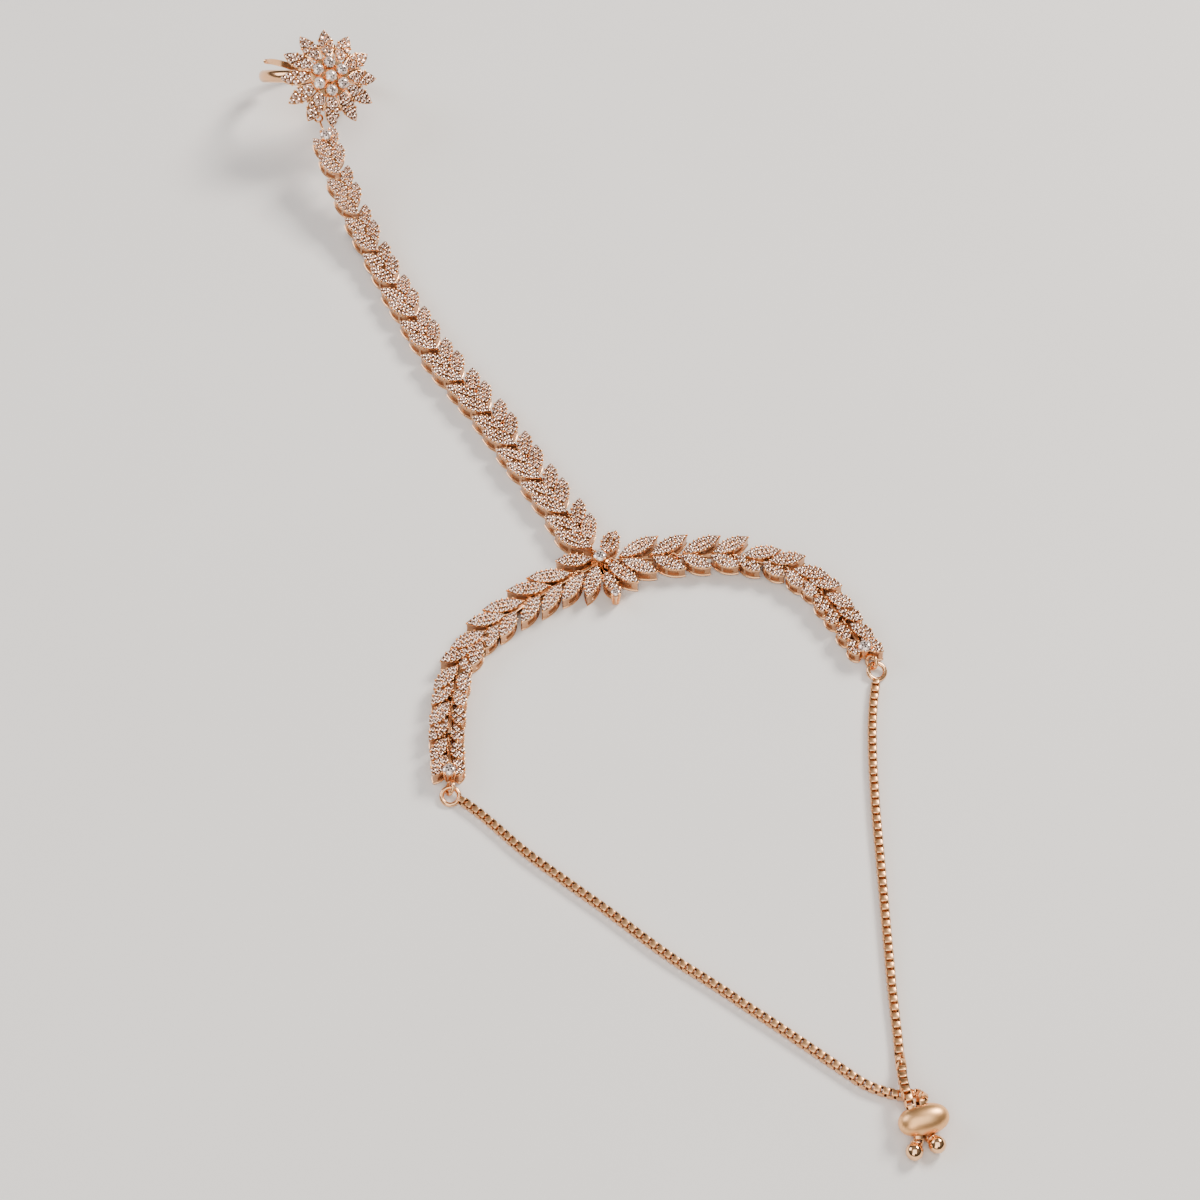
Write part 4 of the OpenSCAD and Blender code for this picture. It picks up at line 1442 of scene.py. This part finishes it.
@dataclass(frozen=True)
class FingerRing:
    """The open finger ring: a half-round band whose arms pass side by side, and a flower of stones."""

    tilt: tuple[float, float, float] = (46, 15, 15)
    lean: float = 16.0
    eye_reach: float = 7.2
    eye_turn: float = -18.0
    eye_z: float = -3.2
    bore: float = 18.0
    band_w: float = 2.4
    band_t: float = 1.4
    band_drop: float = 12.4
    band_from: float = -50.0
    band_sweep: float = 280.0
    end_ease: float = 2.2
    end_inset: float = 0.22
    free_from: float = -45.0
    free_to: float = -155.0
    free_tip_w: float = 0.9
    free_tip_t: float = 0.7
    free_shift: float = 2.8
    petal_l: float = 6.2
    petal_w: float = 2.85
    petal_t: float = 1.0
    petal_slope: float = 14.0
    flower_r: float = 9.7
    head_r: float = 3.8
    head_t: float = 1.3
    saddle: tuple[float, float] = (3.0, 2.2)
    cluster_r: float = 2.7
    gallery_r: float = 5.8
    gallery_z: float = -1.8
    gallery_wire: float = 0.8
    strut_wire: float = 0.36

    @property
    def flower_frame(self) -> Matrix4:
        """Flower frame to row frame: the flower faces z and its eye meets the finger chain.

        Returns:
            The matrix.
        """
        end = shift(*FINGER_ARM.hinge(FINGER_ARM.links))
        tilt = turn("z", self.tilt[2]) @ turn("y", self.tilt[1]) @ turn("x", self.tilt[0])
        return end @ tilt @ turn("x", -self.lean) @ np.linalg.inv(self.eye_frame)

    @property
    def eye_frame(self) -> Matrix4:
        """Frame of the eye in the flower's frame: its y axis points to the flower's middle.

        Returns:
            The matrix.
        """
        angle = math.radians(self.eye_turn)
        place = (self.eye_reach * math.sin(angle), -self.eye_reach * math.cos(angle), self.eye_z)
        return shift(*place)

    @property
    def band_frame(self) -> Matrix4:
        """Band frame to row frame: the finger goes through along y."""
        return self.flower_frame @ turn("x", self.lean) @ shift(0, 0, -self.band_drop)

    def build(self) -> None:
        """Builds the band and the flower as two pieces."""
        self.build_band()
        self.build_flower()

    def build_band(self) -> None:
        """Builds the broad arm and the slender free arm."""
        assembly = Assembly("ring_shank", 3)
        for rings in (self.broad_arm(), self.free_arm()):
            assembly.add(loft(rings), Finish.POLISHED, self.band_frame)
        assembly.build()

    def broad_arm(self) -> list[Points]:
        """Sections of the broad arm, with both ends eased off.

        Returns:
            The sections in order, in the band's frame.
        """
        rings = []
        count = 96
        for k in range(count + 1):
            from_end = min(k, count - k) * self.band_sweep / count
            inset = self.end_inset * max(0.0, 1 - from_end / self.end_ease) ** 2
            angle = self.band_from + self.band_sweep * k / count
            width, thick = self.band_w - 2 * inset, self.band_t - inset
            rings.append(self.band_ring(angle, 0.0, width, thick, self.bore / 2))
        return rings

    def free_arm(self) -> list[Points]:
        """Sections of the slender arm, which leaves the broad one, passes beside it and tapers.

        Returns:
            The sections from root to tip, in the band's frame.
        """
        rings = []
        count = 60
        root_w, root_t = self.band_w - 0.1, self.band_t - 0.1
        tip = 0.03
        for k in range(count + 1):
            t = k / count
            across = self.free_shift * math.sin(math.radians(90 * min(1, t * 1.15))) ** 2
            end = max(0.0, (t - 1 + tip) / tip)
            taper = math.sqrt(max(0.02, 1 - end * end))
            width = (root_w + (self.free_tip_w - root_w) * t**0.8) * taper
            thick = (root_t + (self.free_tip_t - root_t) * t) * taper
            angle = self.free_from + (self.free_to - self.free_from) * t
            rings.append(self.band_ring(angle, across, width, thick, self.bore / 2 + 0.04))
        return rings

    def band_ring(self, angle: float, across: float, width: float, thick: float, inner: float) -> Points:
        """One half-round section of the band, with eased edges.

        Args:
            angle: place round the band, in degrees.
            across: shift along the finger.
            width: size along the finger.
            thick: size outward.
            inner: inner radius.

        Returns:
            The section's points in the band's frame.
        """
        section = []
        for degrees in range(0, 181, 12):
            bend = math.radians(degrees)
            out = thick * (0.12 + 0.88 * math.sin(bend) ** 0.8)
            section.append((out, -width / 2 * math.cos(bend)))
        edge = width / 2 - 0.08 * min(1.0, width)
        section += [(0.0, edge), (0.0, -edge)]
        a = math.radians(angle)
        return np.array(
            [((inner + r) * math.cos(a), across + y, (inner + r) * math.sin(a)) for r, y in section]
        )

    def build_flower(self) -> None:
        """Builds petals, cluster, gallery, saddle and eye."""
        assembly = Assembly("ring_flower", 9)
        frame_of = self.flower_frame
        petal = Leaf(0, 0, 0, self.petal_l, self.petal_w)
        pave = Pave(stone=1.14, rim=0.0, pitch=0.98)
        for k in range(12):
            matrix = (
                frame_of
                @ turn("z", 30 * k)
                @ shift(self.flower_r - self.petal_l, 0, 0)
                @ turn("y", self.petal_slope)
            )
            self.add_petal(assembly, petal, matrix)
            pave.dress(assembly, petal, matrix, 0.0, lambda x, y, room: x < 0.3 + room)
            self.add_strut(assembly, frame_of @ turn("z", 30 * k + 15))
        self.add_cluster(assembly, frame_of)
        self.add_gallery(assembly, frame_of)
        self.add_saddle(assembly)
        assembly.build()

    def add_petal(self, assembly: Assembly, petal: Leaf, matrix: Matrix4) -> None:
        """Adds a petal's plate: stone bed, rim and a bevelled underside whose back is painted dark as
        shade.

        Args:
            assembly: where the mesh goes.
            petal: the petal's outline.
            matrix: petal frame to row frame.
        """
        places = list(np.linspace(0, 1, 22))
        profile = [(0.2, -0.17), (0.15, -0.11), (0.1, -0.08), (0.04, -0.09), (0.0, -0.15)]
        profile += [(0.0, -0.34), (0.05, -0.42), (0.12, -0.47), (0.16, -0.6)]
        profile += [(0.2, self.petal_t * -0.94), (0.26, -self.petal_t), (0.46, -self.petal_t)]
        profile += [(0.52, self.petal_t * -0.9), (0.56, -0.5)]
        rings = [petal.outline(inset, places, z) for inset, z in profile]
        plate = loft(rings)
        rim_rings = 5
        bright = rim_rings * len(rings[0])
        kinds = [Finish.POLISHED] * bright + [Finish.TUMBLED] * (len(plate.faces) - 2 - bright)
        # The bed between the stones and the back recess are painted dark as shade
        assembly.add(plate, kinds + [Finish.SHADED_BED, Finish.INNER_SHADE], matrix)

    def add_strut(self, assembly: Assembly, matrix: Matrix4) -> None:
        """Adds the thin wire that rises from the gallery between two petals.

        Args:
            assembly: where the meshes go.
            matrix: the flower's frame to the row frame.
        """
        path = [(5.8, 0, self.gallery_z), (6.4, 0, -1.45), (6.55, 0, -1.0), (6.1, 0, -0.62)]
        path += [(5.2, 0, -0.5), (4.3, 0, -0.55), (3.6, 0, -0.7)]
        assembly.add(tube(path, self.strut_wire / 2, 8), Finish.POLISHED, matrix)

    def add_cluster(self, assembly: Assembly, matrix: Matrix4) -> None:
        """Adds the head's plate and its seven round stones.

        Args:
            assembly: where the meshes go.
            matrix: the flower's frame to the row frame.
        """
        plate = [
            (self.head_r - 0.5, -self.head_t),
            (self.head_r - 0.1, -self.head_t),
            (self.head_r, -self.head_t + 0.1),
            (self.head_r, -0.32),
            (self.head_r - 0.08, -0.2),
            (self.head_r - 0.5, -0.16),
        ]
        assembly.add(lathe(plate, 48), Finish.POLISHED, matrix)
        foot, middle_top, side_top = -0.9, 0.7, 0.4
        RoundStone(claws=6, turn_by=0).build(assembly, matrix, foot, middle_top)
        for k in range(6):
            around = matrix @ turn("z", 30 + 60 * k) @ shift(self.cluster_r, 0, 0)
            RoundStone().build(assembly, around, foot, side_top)

    def add_gallery(self, assembly: Assembly, matrix: Matrix4) -> None:
        """Adds the ring of wire under the petals and the eye for the finger chain.

        Args:
            assembly: where the meshes go.
            matrix: the flower's frame to the row frame.
        """
        gallery = torus(self.gallery_r, self.gallery_wire, 72, 14)
        assembly.add(gallery, Finish.POLISHED, matrix @ shift(0, 0, self.gallery_z))
        bead_r = 0.45
        arc = np.linspace(0.15, 2.99, 9)
        bead = lathe([(bead_r * math.sin(a), -bead_r * math.cos(a)) for a in arc], 16)
        at_eye = matrix @ self.eye_frame @ turn("z", self.eye_turn)
        assembly.add(bead, Finish.POLISHED, at_eye @ shift(0, 1.25, 0.9))
        assembly.add(LOOP, Finish.POLISHED, at_eye @ shift(0, 0.5, 0) @ turn("y", 90))

    def add_saddle(self, assembly: Assembly) -> None:
        """Adds the block between the flower's head and the band, hollowed to the band's curve.

        Args:
            assembly: where the mesh goes.
        """
        outer = self.bore / 2 + self.band_t + 0.06
        top = self.band_drop - self.head_t + 0.5
        half_l, half_w = self.saddle[0] / 2, self.saddle[1] / 2
        rings = []
        for x in np.linspace(-half_l, half_l, 13):
            low = math.sqrt(outer * outer - x * x)
            half = half_w - (0.12 if abs(x) > half_l - 0.05 else 0.0)
            corners = ((-half, low), (half, low), (half, top), (-half, top))
            rings.append(np.array([(x, y, z) for y, z in corners]))
        assembly.add(loft(rings, smooth=False), Finish.POLISHED, self.band_frame)


@dataclass(frozen=True)
class EndRing:
    """The small soldered ring that joins a wing to its box chain."""

    arm: Arm
    outer_d: float = 3.65
    wire: float = 0.78
    tilt: float = 16.0
    z: float = 0.8

    def build(self) -> None:
        """Builds the ring."""
        assembly = Assembly(f"{self.arm.name}_end_ring", 2)
        last = self.arm.rows[-1]
        x, y, _ = self.arm.hinge(self.arm.links)
        at = shift(x, y, self.z) @ turn("z", last.heading) @ turn("y", self.tilt)
        ring = torus((self.outer_d - self.wire) / 2, self.wire, 56, 18)
        assembly.add(ring, Finish.POLISHED, at)
        assembly.build()


@dataclass(frozen=True)
class Slider:
    """The sliding bead that closes the wrist loop, with a slot for both chains."""

    at: tuple[float, float, float] = (49.4, -102.8, 2.5)
    heading: float = -76.0
    pitch: float = 22.0
    length: float = 8.0
    diameter: float = 4.8
    slot_h: float = 1.9
    slot_pitch: float = 1.7
    slot_shift: float = -0.7
    slot_reach: float = 2.5

    def point(self, side: int, reach: float) -> tuple[float, float, float]:
        """A point of a chain's route in the slot.

        Args:
            side: the chain's side of the slot, -1 or 1.
            reach: how far along the slot.

        Returns:
            The point's x, y and z.
        """
        h, p = math.radians(self.heading), math.radians(self.pitch)
        along = np.array([math.cos(h) * math.cos(p), math.sin(h) * math.cos(p), -math.sin(p)])
        across = np.array([-math.sin(h), math.cos(h), 0.0])
        place = np.array(self.at) + reach * along + (self.slot_shift + side * self.slot_pitch / 2) * across
        return float(place[0]), float(place[1]), float(place[2])

    def radius(self, t: float) -> float:
        """The bead's radius at t, from -1 to 1 along it."""
        return self.diameter / 2 * max(0.0, 1 - abs(t) ** 2.4) ** (1 / 2.2)

    def build(self) -> None:
        """Builds the turned bead and cuts its slot."""
        frame_of = shift(*self.at) @ turn("z", self.heading) @ turn("y", self.pitch)
        steps, tip_r, beyond = 48, 0.02, 6.0
        profile = [(tip_r, -self.length / 2)]
        for k in range(1, steps):
            t = -math.cos(math.pi * k / steps)
            profile.append((self.radius(t), t * self.length / 2))
        profile.append((tip_r, self.length / 2))
        assembly = Assembly("slider_bead", 4)
        assembly.add(lathe(profile, 96), Finish.BRUSHED, frame_of @ turn("x", 90))
        bore = loft([self.slot_ring(x) for x in (-beyond, beyond)], smooth=False)
        # The faces that the cut leaves inside the slot are painted dark as shade
        cut_away(assembly.build(), Shape(moved(frame_of, bore.verts), bore.faces, False), Finish.INNER_SHADE)

    def slot_ring(self, x: float) -> Points:
        """The slot's oval outline at x in the slider's frame.

        Args:
            x: place along the slot.

        Returns:
            The outline's points.
        """
        half, radius = self.slot_pitch / 2, self.slot_h / 2
        points = []
        for k in range(32):
            angle = 2 * math.pi * (k + 0.5) / 32
            y = radius * math.cos(angle) + math.copysign(half, math.cos(angle))
            points.append((x, self.slot_shift + y, radius * math.sin(angle)))
        return np.array(points)


def cut_away(piece: bpy.types.Object, hole: Shape, finish: Finish) -> None:
    """Cuts a closed shape out of a piece and keeps the result as the piece's mesh.

    Args:
        piece: the object that is cut.
        hole: the shape in millimetres.
        finish: finish of the faces that the cut leaves.
    """
    mesh = bpy.data.meshes.new("cutter")
    mesh.from_pydata((hole.verts * MM).tolist(), [], hole.faces)
    mesh.materials.append(DRESS[finish])
    tool = bpy.data.objects.new("cutter", mesh)
    bpy.context.scene.collection.objects.link(tool)
    cut = piece.modifiers.new("cut", "BOOLEAN")
    cut.operation = "DIFFERENCE"
    cut.solver = "EXACT"
    cut.material_mode = "TRANSFER"
    cut.object = tool
    bpy.context.view_layer.update()
    graph = bpy.context.evaluated_depsgraph_get()
    result = bpy.data.meshes.new_from_object(piece.evaluated_get(graph))
    piece.modifiers.clear()
    piece.data = result
    result.set_sharp_from_angle(angle=SHARP_ANGLE)
    bpy.data.objects.remove(tool)


@dataclass(frozen=True)
class BoxChain:
    """A box chain: square links of flat wire, each turned a quarter from the last."""

    name: str
    route: tuple[tuple[float, float, float], ...]
    width: float = 1.5
    pitch: float = 0.725
    strip: float = 0.2
    band: float = 1.0
    corner: float = 0.21
    margin: float = 0.5
    twist_at: float = 0.0
    twist_span: float = 0.0

    def centreline(self) -> tuple[Points, Points]:
        """Draws a smooth curve through the route.

        Returns:
            The line's points, and the length up to each of them.
        """
        points = np.array(self.route)
        padded = np.vstack([2 * points[0] - points[1], points, 2 * points[-1] - points[-2]])
        line = []
        for k in range(1, len(padded) - 2):
            a, b, c, d = padded[k - 1 : k + 3]
            bend, wave = 2 * a - 5 * b + 4 * c - d, 3 * b - a - 3 * c + d
            for t in np.arange(0, 1, 0.125):
                line.append((2 * b + (c - a) * t + bend * t * t + wave * t**3) / 2)
        line.append(points[-1])
        curve = np.array(line)
        lengths = np.concatenate([[0], np.cumsum(np.linalg.norm(np.diff(curve, axis=0), axis=1))])
        return curve, lengths

    def link(self) -> Shape:
        """One link along x: a square loop of flat wire with softened corners, open through y.

        Returns:
            The link.
        """
        mid_l = self.pitch / 2 + self.strip + 0.01 - self.corner
        mid_w = self.width / 2 - self.corner
        across = np.array([0.0, self.band, 0.0])
        rings = []
        for cx, cz, start in CORNERS:
            centre = np.array([cx * mid_l, 0.0, cz * mid_w])
            for step in (5, 30, 60, 85):
                angle = math.radians(start + step)
                outward = np.array([math.cos(angle), 0.0, math.sin(angle)])
                section = []
                for reach, side in ((1, -0.42), (1, 0.42), (0.85, 0.5), (0, 0.5), (0, -0.5), (0.85, -0.5)):
                    depth = self.corner - self.strip + reach * self.strip
                    section.append(centre + outward * depth + across * side)
                rings.append(np.array(section))
        return loft(rings, closed=True)

    def build(self) -> None:
        """Builds the chain link by link along its route."""
        curve, lengths = self.centreline()
        assembly = Assembly(self.name, 8)
        shape = self.link()
        # Each link's inner face is painted dark as the shade in the gaps between the links
        walls = [Finish.BARRELED] * 3 + [Finish.LINK_INSIDE_SHADE] + [Finish.BARRELED] * 2
        finishes = walls * (len(shape.faces) // len(walls))
        run = lengths[-1] - 2 * self.margin
        count = int(run / self.pitch)
        frames = upright_frames(curve, UP)
        tangents = directions(curve)
        for k in range(count + 1):
            s = self.margin + run * k / count
            j = int(np.searchsorted(lengths, s))
            side, upper = frames[j]
            share = (s - lengths[j - 1]) / max(1e-9, lengths[j] - lengths[j - 1])
            matrix = np.eye(4)
            matrix[:3, 0], matrix[:3, 1], matrix[:3, 2] = tangents[j], side, upper
            matrix[:3, 3] = curve[j - 1] + (curve[j] - curve[j - 1]) * share
            twist = 0.0
            if self.twist_span:
                twist = float(np.clip((s - self.twist_at) / self.twist_span, 0.0, 1.0))
            assembly.add(shape, finishes, matrix @ turn("x", 90 * (k % 2 + twist)))
        assembly.build()


@dataclass(frozen=True)
class EndBead:
    """A diamond-cut bead that stops a chain's end."""

    name: str
    at: tuple[float, float, float]
    heading: float
    diameter: float = 2.9
    inner_rows: float = 0.945
    tilt: float = 40.0
    collar_r: float = 0.86
    collar_wire: float = 0.3

    def build(self) -> None:
        """Builds the bead: rows of flat facets round a ball, and a collar where the chain enters."""
        assembly = Assembly(self.name, 6)
        radius = self.diameter / 2
        around, between_rows = 11, 20
        rings = []
        for row, polar in enumerate(range(between_rows, 180, between_rows)):
            angle = math.radians(polar)
            start, reach = (0.5, radius) if row % 2 == 0 else (0.0, radius * self.inner_rows)
            rings.append(ring_points(reach * math.sin(angle), around, reach * math.cos(angle), start))
        faces: list[Face] = [tuple(range(around))]
        for row in range(len(rings) - 1):
            a, b = row * around, (row + 1) * around
            for j in range(around):
                n = (j + 1) % around
                if row % 2:
                    faces += [(a + j, b + j, a + n), (b + j, b + n, a + n)]
                else:
                    faces += [(a + j, b + n, a + n), (a + j, b + j, b + n)]
        faces.append(tuple((len(rings) - 1) * around + j for j in range(around))[::-1])
        at = shift(*self.at) @ turn("z", self.heading)
        assembly.add(Shape(np.vstack(rings), faces, False), Finish.CUT, at @ turn("y", self.tilt))
        collar = torus(self.collar_r, self.collar_wire, 32, 10)
        place = at @ shift(-radius * 0.84, 0, 0) @ turn("y", 90)
        assembly.add(collar, Finish.POLISHED, place)
        assembly.build()


@dataclass(frozen=True)
class Closure:
    """The two box chains, the slider and the end beads."""

    chain_z: float = 0.76
    slider: Slider = Slider()
    bead_1: EndBead = EndBead("end_bead_1", (47.8, -107.5, 1.46), -108.0)
    bead_2: EndBead = EndBead("end_bead_2", (51.3, -106.35, 1.46), -50.0)

    def chain_end(self, bead: EndBead, side: int) -> list[tuple[float, float, float]]:
        """The last points of a chain: through the slider's slot and into its end bead.

        Args:
            bead: the chain's end bead.
            side: the chain's side of the slot, -1 or 1.

        Returns:
            The points in order.
        """
        angle = math.radians(bead.heading)
        x, y, z = bead.at
        inside = (x - 0.5 * math.cos(angle), y - 0.5 * math.sin(angle), z)
        reach = self.slider.slot_reach
        return [self.slider.point(side, d) for d in (-reach, 0, reach)] + [inside]

    def right_route(self) -> list[tuple[float, float, float]]:
        """The right chain's points: down the straight side, then up to the slider.

        Returns:
            The points in order.
        """
        flat = self.chain_z
        points = [(46.58, -23.28, 0.6), (46.4, -24.6, flat), (45.9, -28, flat)]
        points += [(45.5, -32, flat), (45.3, -36, flat)]
        points += [(45.2, y, flat) for y in (-40, -44, -48)]
        points += [(45.3 + 0.025 * (-52 - y), y, flat) for y in range(-52, -81, -4)]
        points += [(46.2, -84, flat), (46.4, -88, flat), (46.5, -91, 0.9), (46.6, -93.7, 1.5)]
        return points + [(46.6, -96.2, 2.5), (46.8, -98.3, 3.3), (47.05, -99.6, 3.58)]

    def left_route(self) -> list[tuple[float, float, float]]:
        """The left chain's points: across to the slider, then up to it beside the other.

        Returns:
            The points in order.
        """
        flat = self.chain_z
        points = [(-23.02, -46.3, 0.6), (-22.2, -46.8, flat), (-19.5, -49.0, flat)]
        points += [(-16.3, -52.0, flat), (-13, -55.2, flat)]
        points += [(-9.8, -57.9, flat), (-6.5, -60.5, flat), (-3.2, -63.1, flat), (0, -65.6, flat)]
        points += [(3.2, -68.2, flat), (6.4, -70.9, flat), (9.6, -73.5, flat), (12.8, -75.9, flat)]
        points += [(16.3, -78.3, flat), (19.8, -80.8, flat), (23.3, -83.4, flat), (26.8, -85.9, flat)]
        points += [(30.3, -88.5, flat), (33.8, -91.1, flat), (37.3, -93.7, flat), (40.8, -96.2, flat)]
        points += [(43.8, -97.5, flat), (46.2, -98.1, 0.9), (48.0, -98.2, 1.5), (49.2, -98.7, 2.4)]
        return points + [(49.4, -99.6, 3.15)]

    def build(self) -> None:
        """Builds every piece of the closure."""
        right = self.right_route() + self.chain_end(self.bead_1, -1)
        BoxChain("right_box_chain", tuple(right), twist_at=67.5, twist_span=4.0).build()
        left = self.left_route() + self.chain_end(self.bead_2, 1)
        BoxChain("left_box_chain", tuple(left)).build()
        for piece in (self.slider, self.bead_1, self.bead_2):
            piece.build()


@dataclass(frozen=True)
class Studio:
    """The camera, the pale floor and the soft lights."""

    elevation: float = 57.0
    distance_mm: float = 474.1
    lens_mm: float = 82.5
    sensor_mm: float = 36.0
    target_y_mm: float = -6.6
    floor_half_mm: float = 1500.0
    mottle_mm: float = 60.0

    def build(self) -> None:
        """Sets up the whole studio."""
        self.add_camera()
        self.add_floor()
        self.add_lights()

    def add_camera(self) -> None:
        """Adds the camera at the photograph's angle and makes it the scene's own."""
        lens = bpy.data.cameras.new("camera")
        lens.lens, lens.sensor_width = self.lens_mm, self.sensor_mm
        lens.clip_start, lens.clip_end = 0.01, 20.0
        camera = bpy.data.objects.new("camera", lens)
        bpy.context.scene.collection.objects.link(camera)
        angle = math.radians(self.elevation)
        camera.location = (
            0.0,
            (self.target_y_mm - self.distance_mm * math.cos(angle)) * MM,
            self.distance_mm * math.sin(angle) * MM,
        )
        camera.rotation_euler = (math.radians(90 - self.elevation), 0.0, 0.0)
        bpy.context.scene.camera = camera

    def add_floor(self) -> None:
        """Adds the painted floor: pale, matt and very slightly mottled."""
        half = self.floor_half_mm * MM
        mesh = bpy.data.meshes.new("floor")
        corners = [(-half, -half, 0), (half, -half, 0), (half, half, 0), (-half, half, 0)]
        mesh.from_pydata(corners, [], [(0, 1, 2, 3)])
        material, tree, output = shader_tree("matt_painted_floor")
        place = {"Vector": add_node(tree, "ShaderNodeTexCoord").outputs["Object"]}
        mottle = add_node(tree, "ShaderNodeTexNoise", noise_values(self.mottle_mm, 2.0), place)
        tone = add_node(tree, "ShaderNodeValToRGB", None, {"Fac": mottle.outputs["Fac"]})
        tone.color_ramp.elements[0].color = linear("EBE8E5")
        tone.color_ramp.elements[1].color = linear("F2F0ED")
        shader = add_node(
            tree, "ShaderNodeBsdfPrincipled", {"Roughness": 0.7}, {"Base Color": tone.outputs["Color"]}
        )
        tree.links.new(shader.outputs["BSDF"], output.inputs["Surface"])
        mesh.materials.append(material)
        floor = bpy.data.objects.new("floor", mesh)
        bpy.context.scene.collection.objects.link(floor)

    def add_lights(self) -> None:
        """Adds the studio air and four soft lights: key, fill, top and a low front card."""
        self.add_air()
        for name, place, size, watts, colour in (
            ("key_box", (0.6, 0.5, 0.7), 0.35, 14.0, "FFF8F0"),
            ("fill_box", (-0.75, 0.25, 0.5), 0.5, 4.0, "F8F8FF"),
            ("top_box", (0.0, -0.42, 0.85), 0.9, 6.0, "FFFCF8"),
            ("front_card", (-0.2, -0.75, 0.4), 0.4, 1.5, "FFF4EA"),
        ):
            lamp = bpy.data.lights.new(name, "AREA")
            lamp.size, lamp.energy, lamp.color = size, watts, linear(colour)[:3]
            light = bpy.data.objects.new(name, lamp)
            light.location = place
            aim = math.atan2(math.hypot(place[0], place[1]), place[2])
            light.rotation_euler = (aim, 0.0, math.atan2(place[0], -place[1]))
            bpy.context.scene.collection.objects.link(light)

    def add_air(self) -> None:
        """Adds the dim light that comes from all round, grey below and pale overhead."""
        world = bpy.data.worlds.new("studio_air")
        world.use_nodes = True
        tree = world.node_tree
        tree.nodes.clear()
        sky = add_node(tree, "ShaderNodeTexCoord")
        height = add_node(tree, "ShaderNodeSeparateXYZ", None, {"Vector": sky.outputs["Generated"]})
        band = add_node(tree, "ShaderNodeValToRGB", None, {"Fac": height.outputs["Z"]})
        band.color_ramp.elements[0].color = linear("6A6663")
        band.color_ramp.elements[1].color = linear("F4F0EC")
        band.color_ramp.elements.new(0.45).color = linear("9C9793")
        background = add_node(
            tree, "ShaderNodeBackground", {"Strength": 0.36}, {"Color": band.outputs["Color"]}
        )
        output = add_node(tree, "ShaderNodeOutputWorld")
        tree.links.new(background.outputs["Background"], output.inputs["Surface"])
        bpy.context.scene.world = world


DRESS: dict[Finish, bpy.types.Material] = {}


def main() -> None:
    """Builds the harness piece by piece around the frame, then the studio."""
    logging.basicConfig(level=logging.INFO, format="%(name)s: %(message)s")
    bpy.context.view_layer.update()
    for finish in Finish:
        DRESS[finish] = finish.value.material()
    FingerRing().build()
    for arm in ARMS:
        for index in range(arm.links):
            LeafLink(arm, index).build()
    CentreFlower().build()
    for arm in WINGS:
        EndRing(arm).build()
    Closure().build()
    Studio().build()


if __name__ == "__main__":
    main()
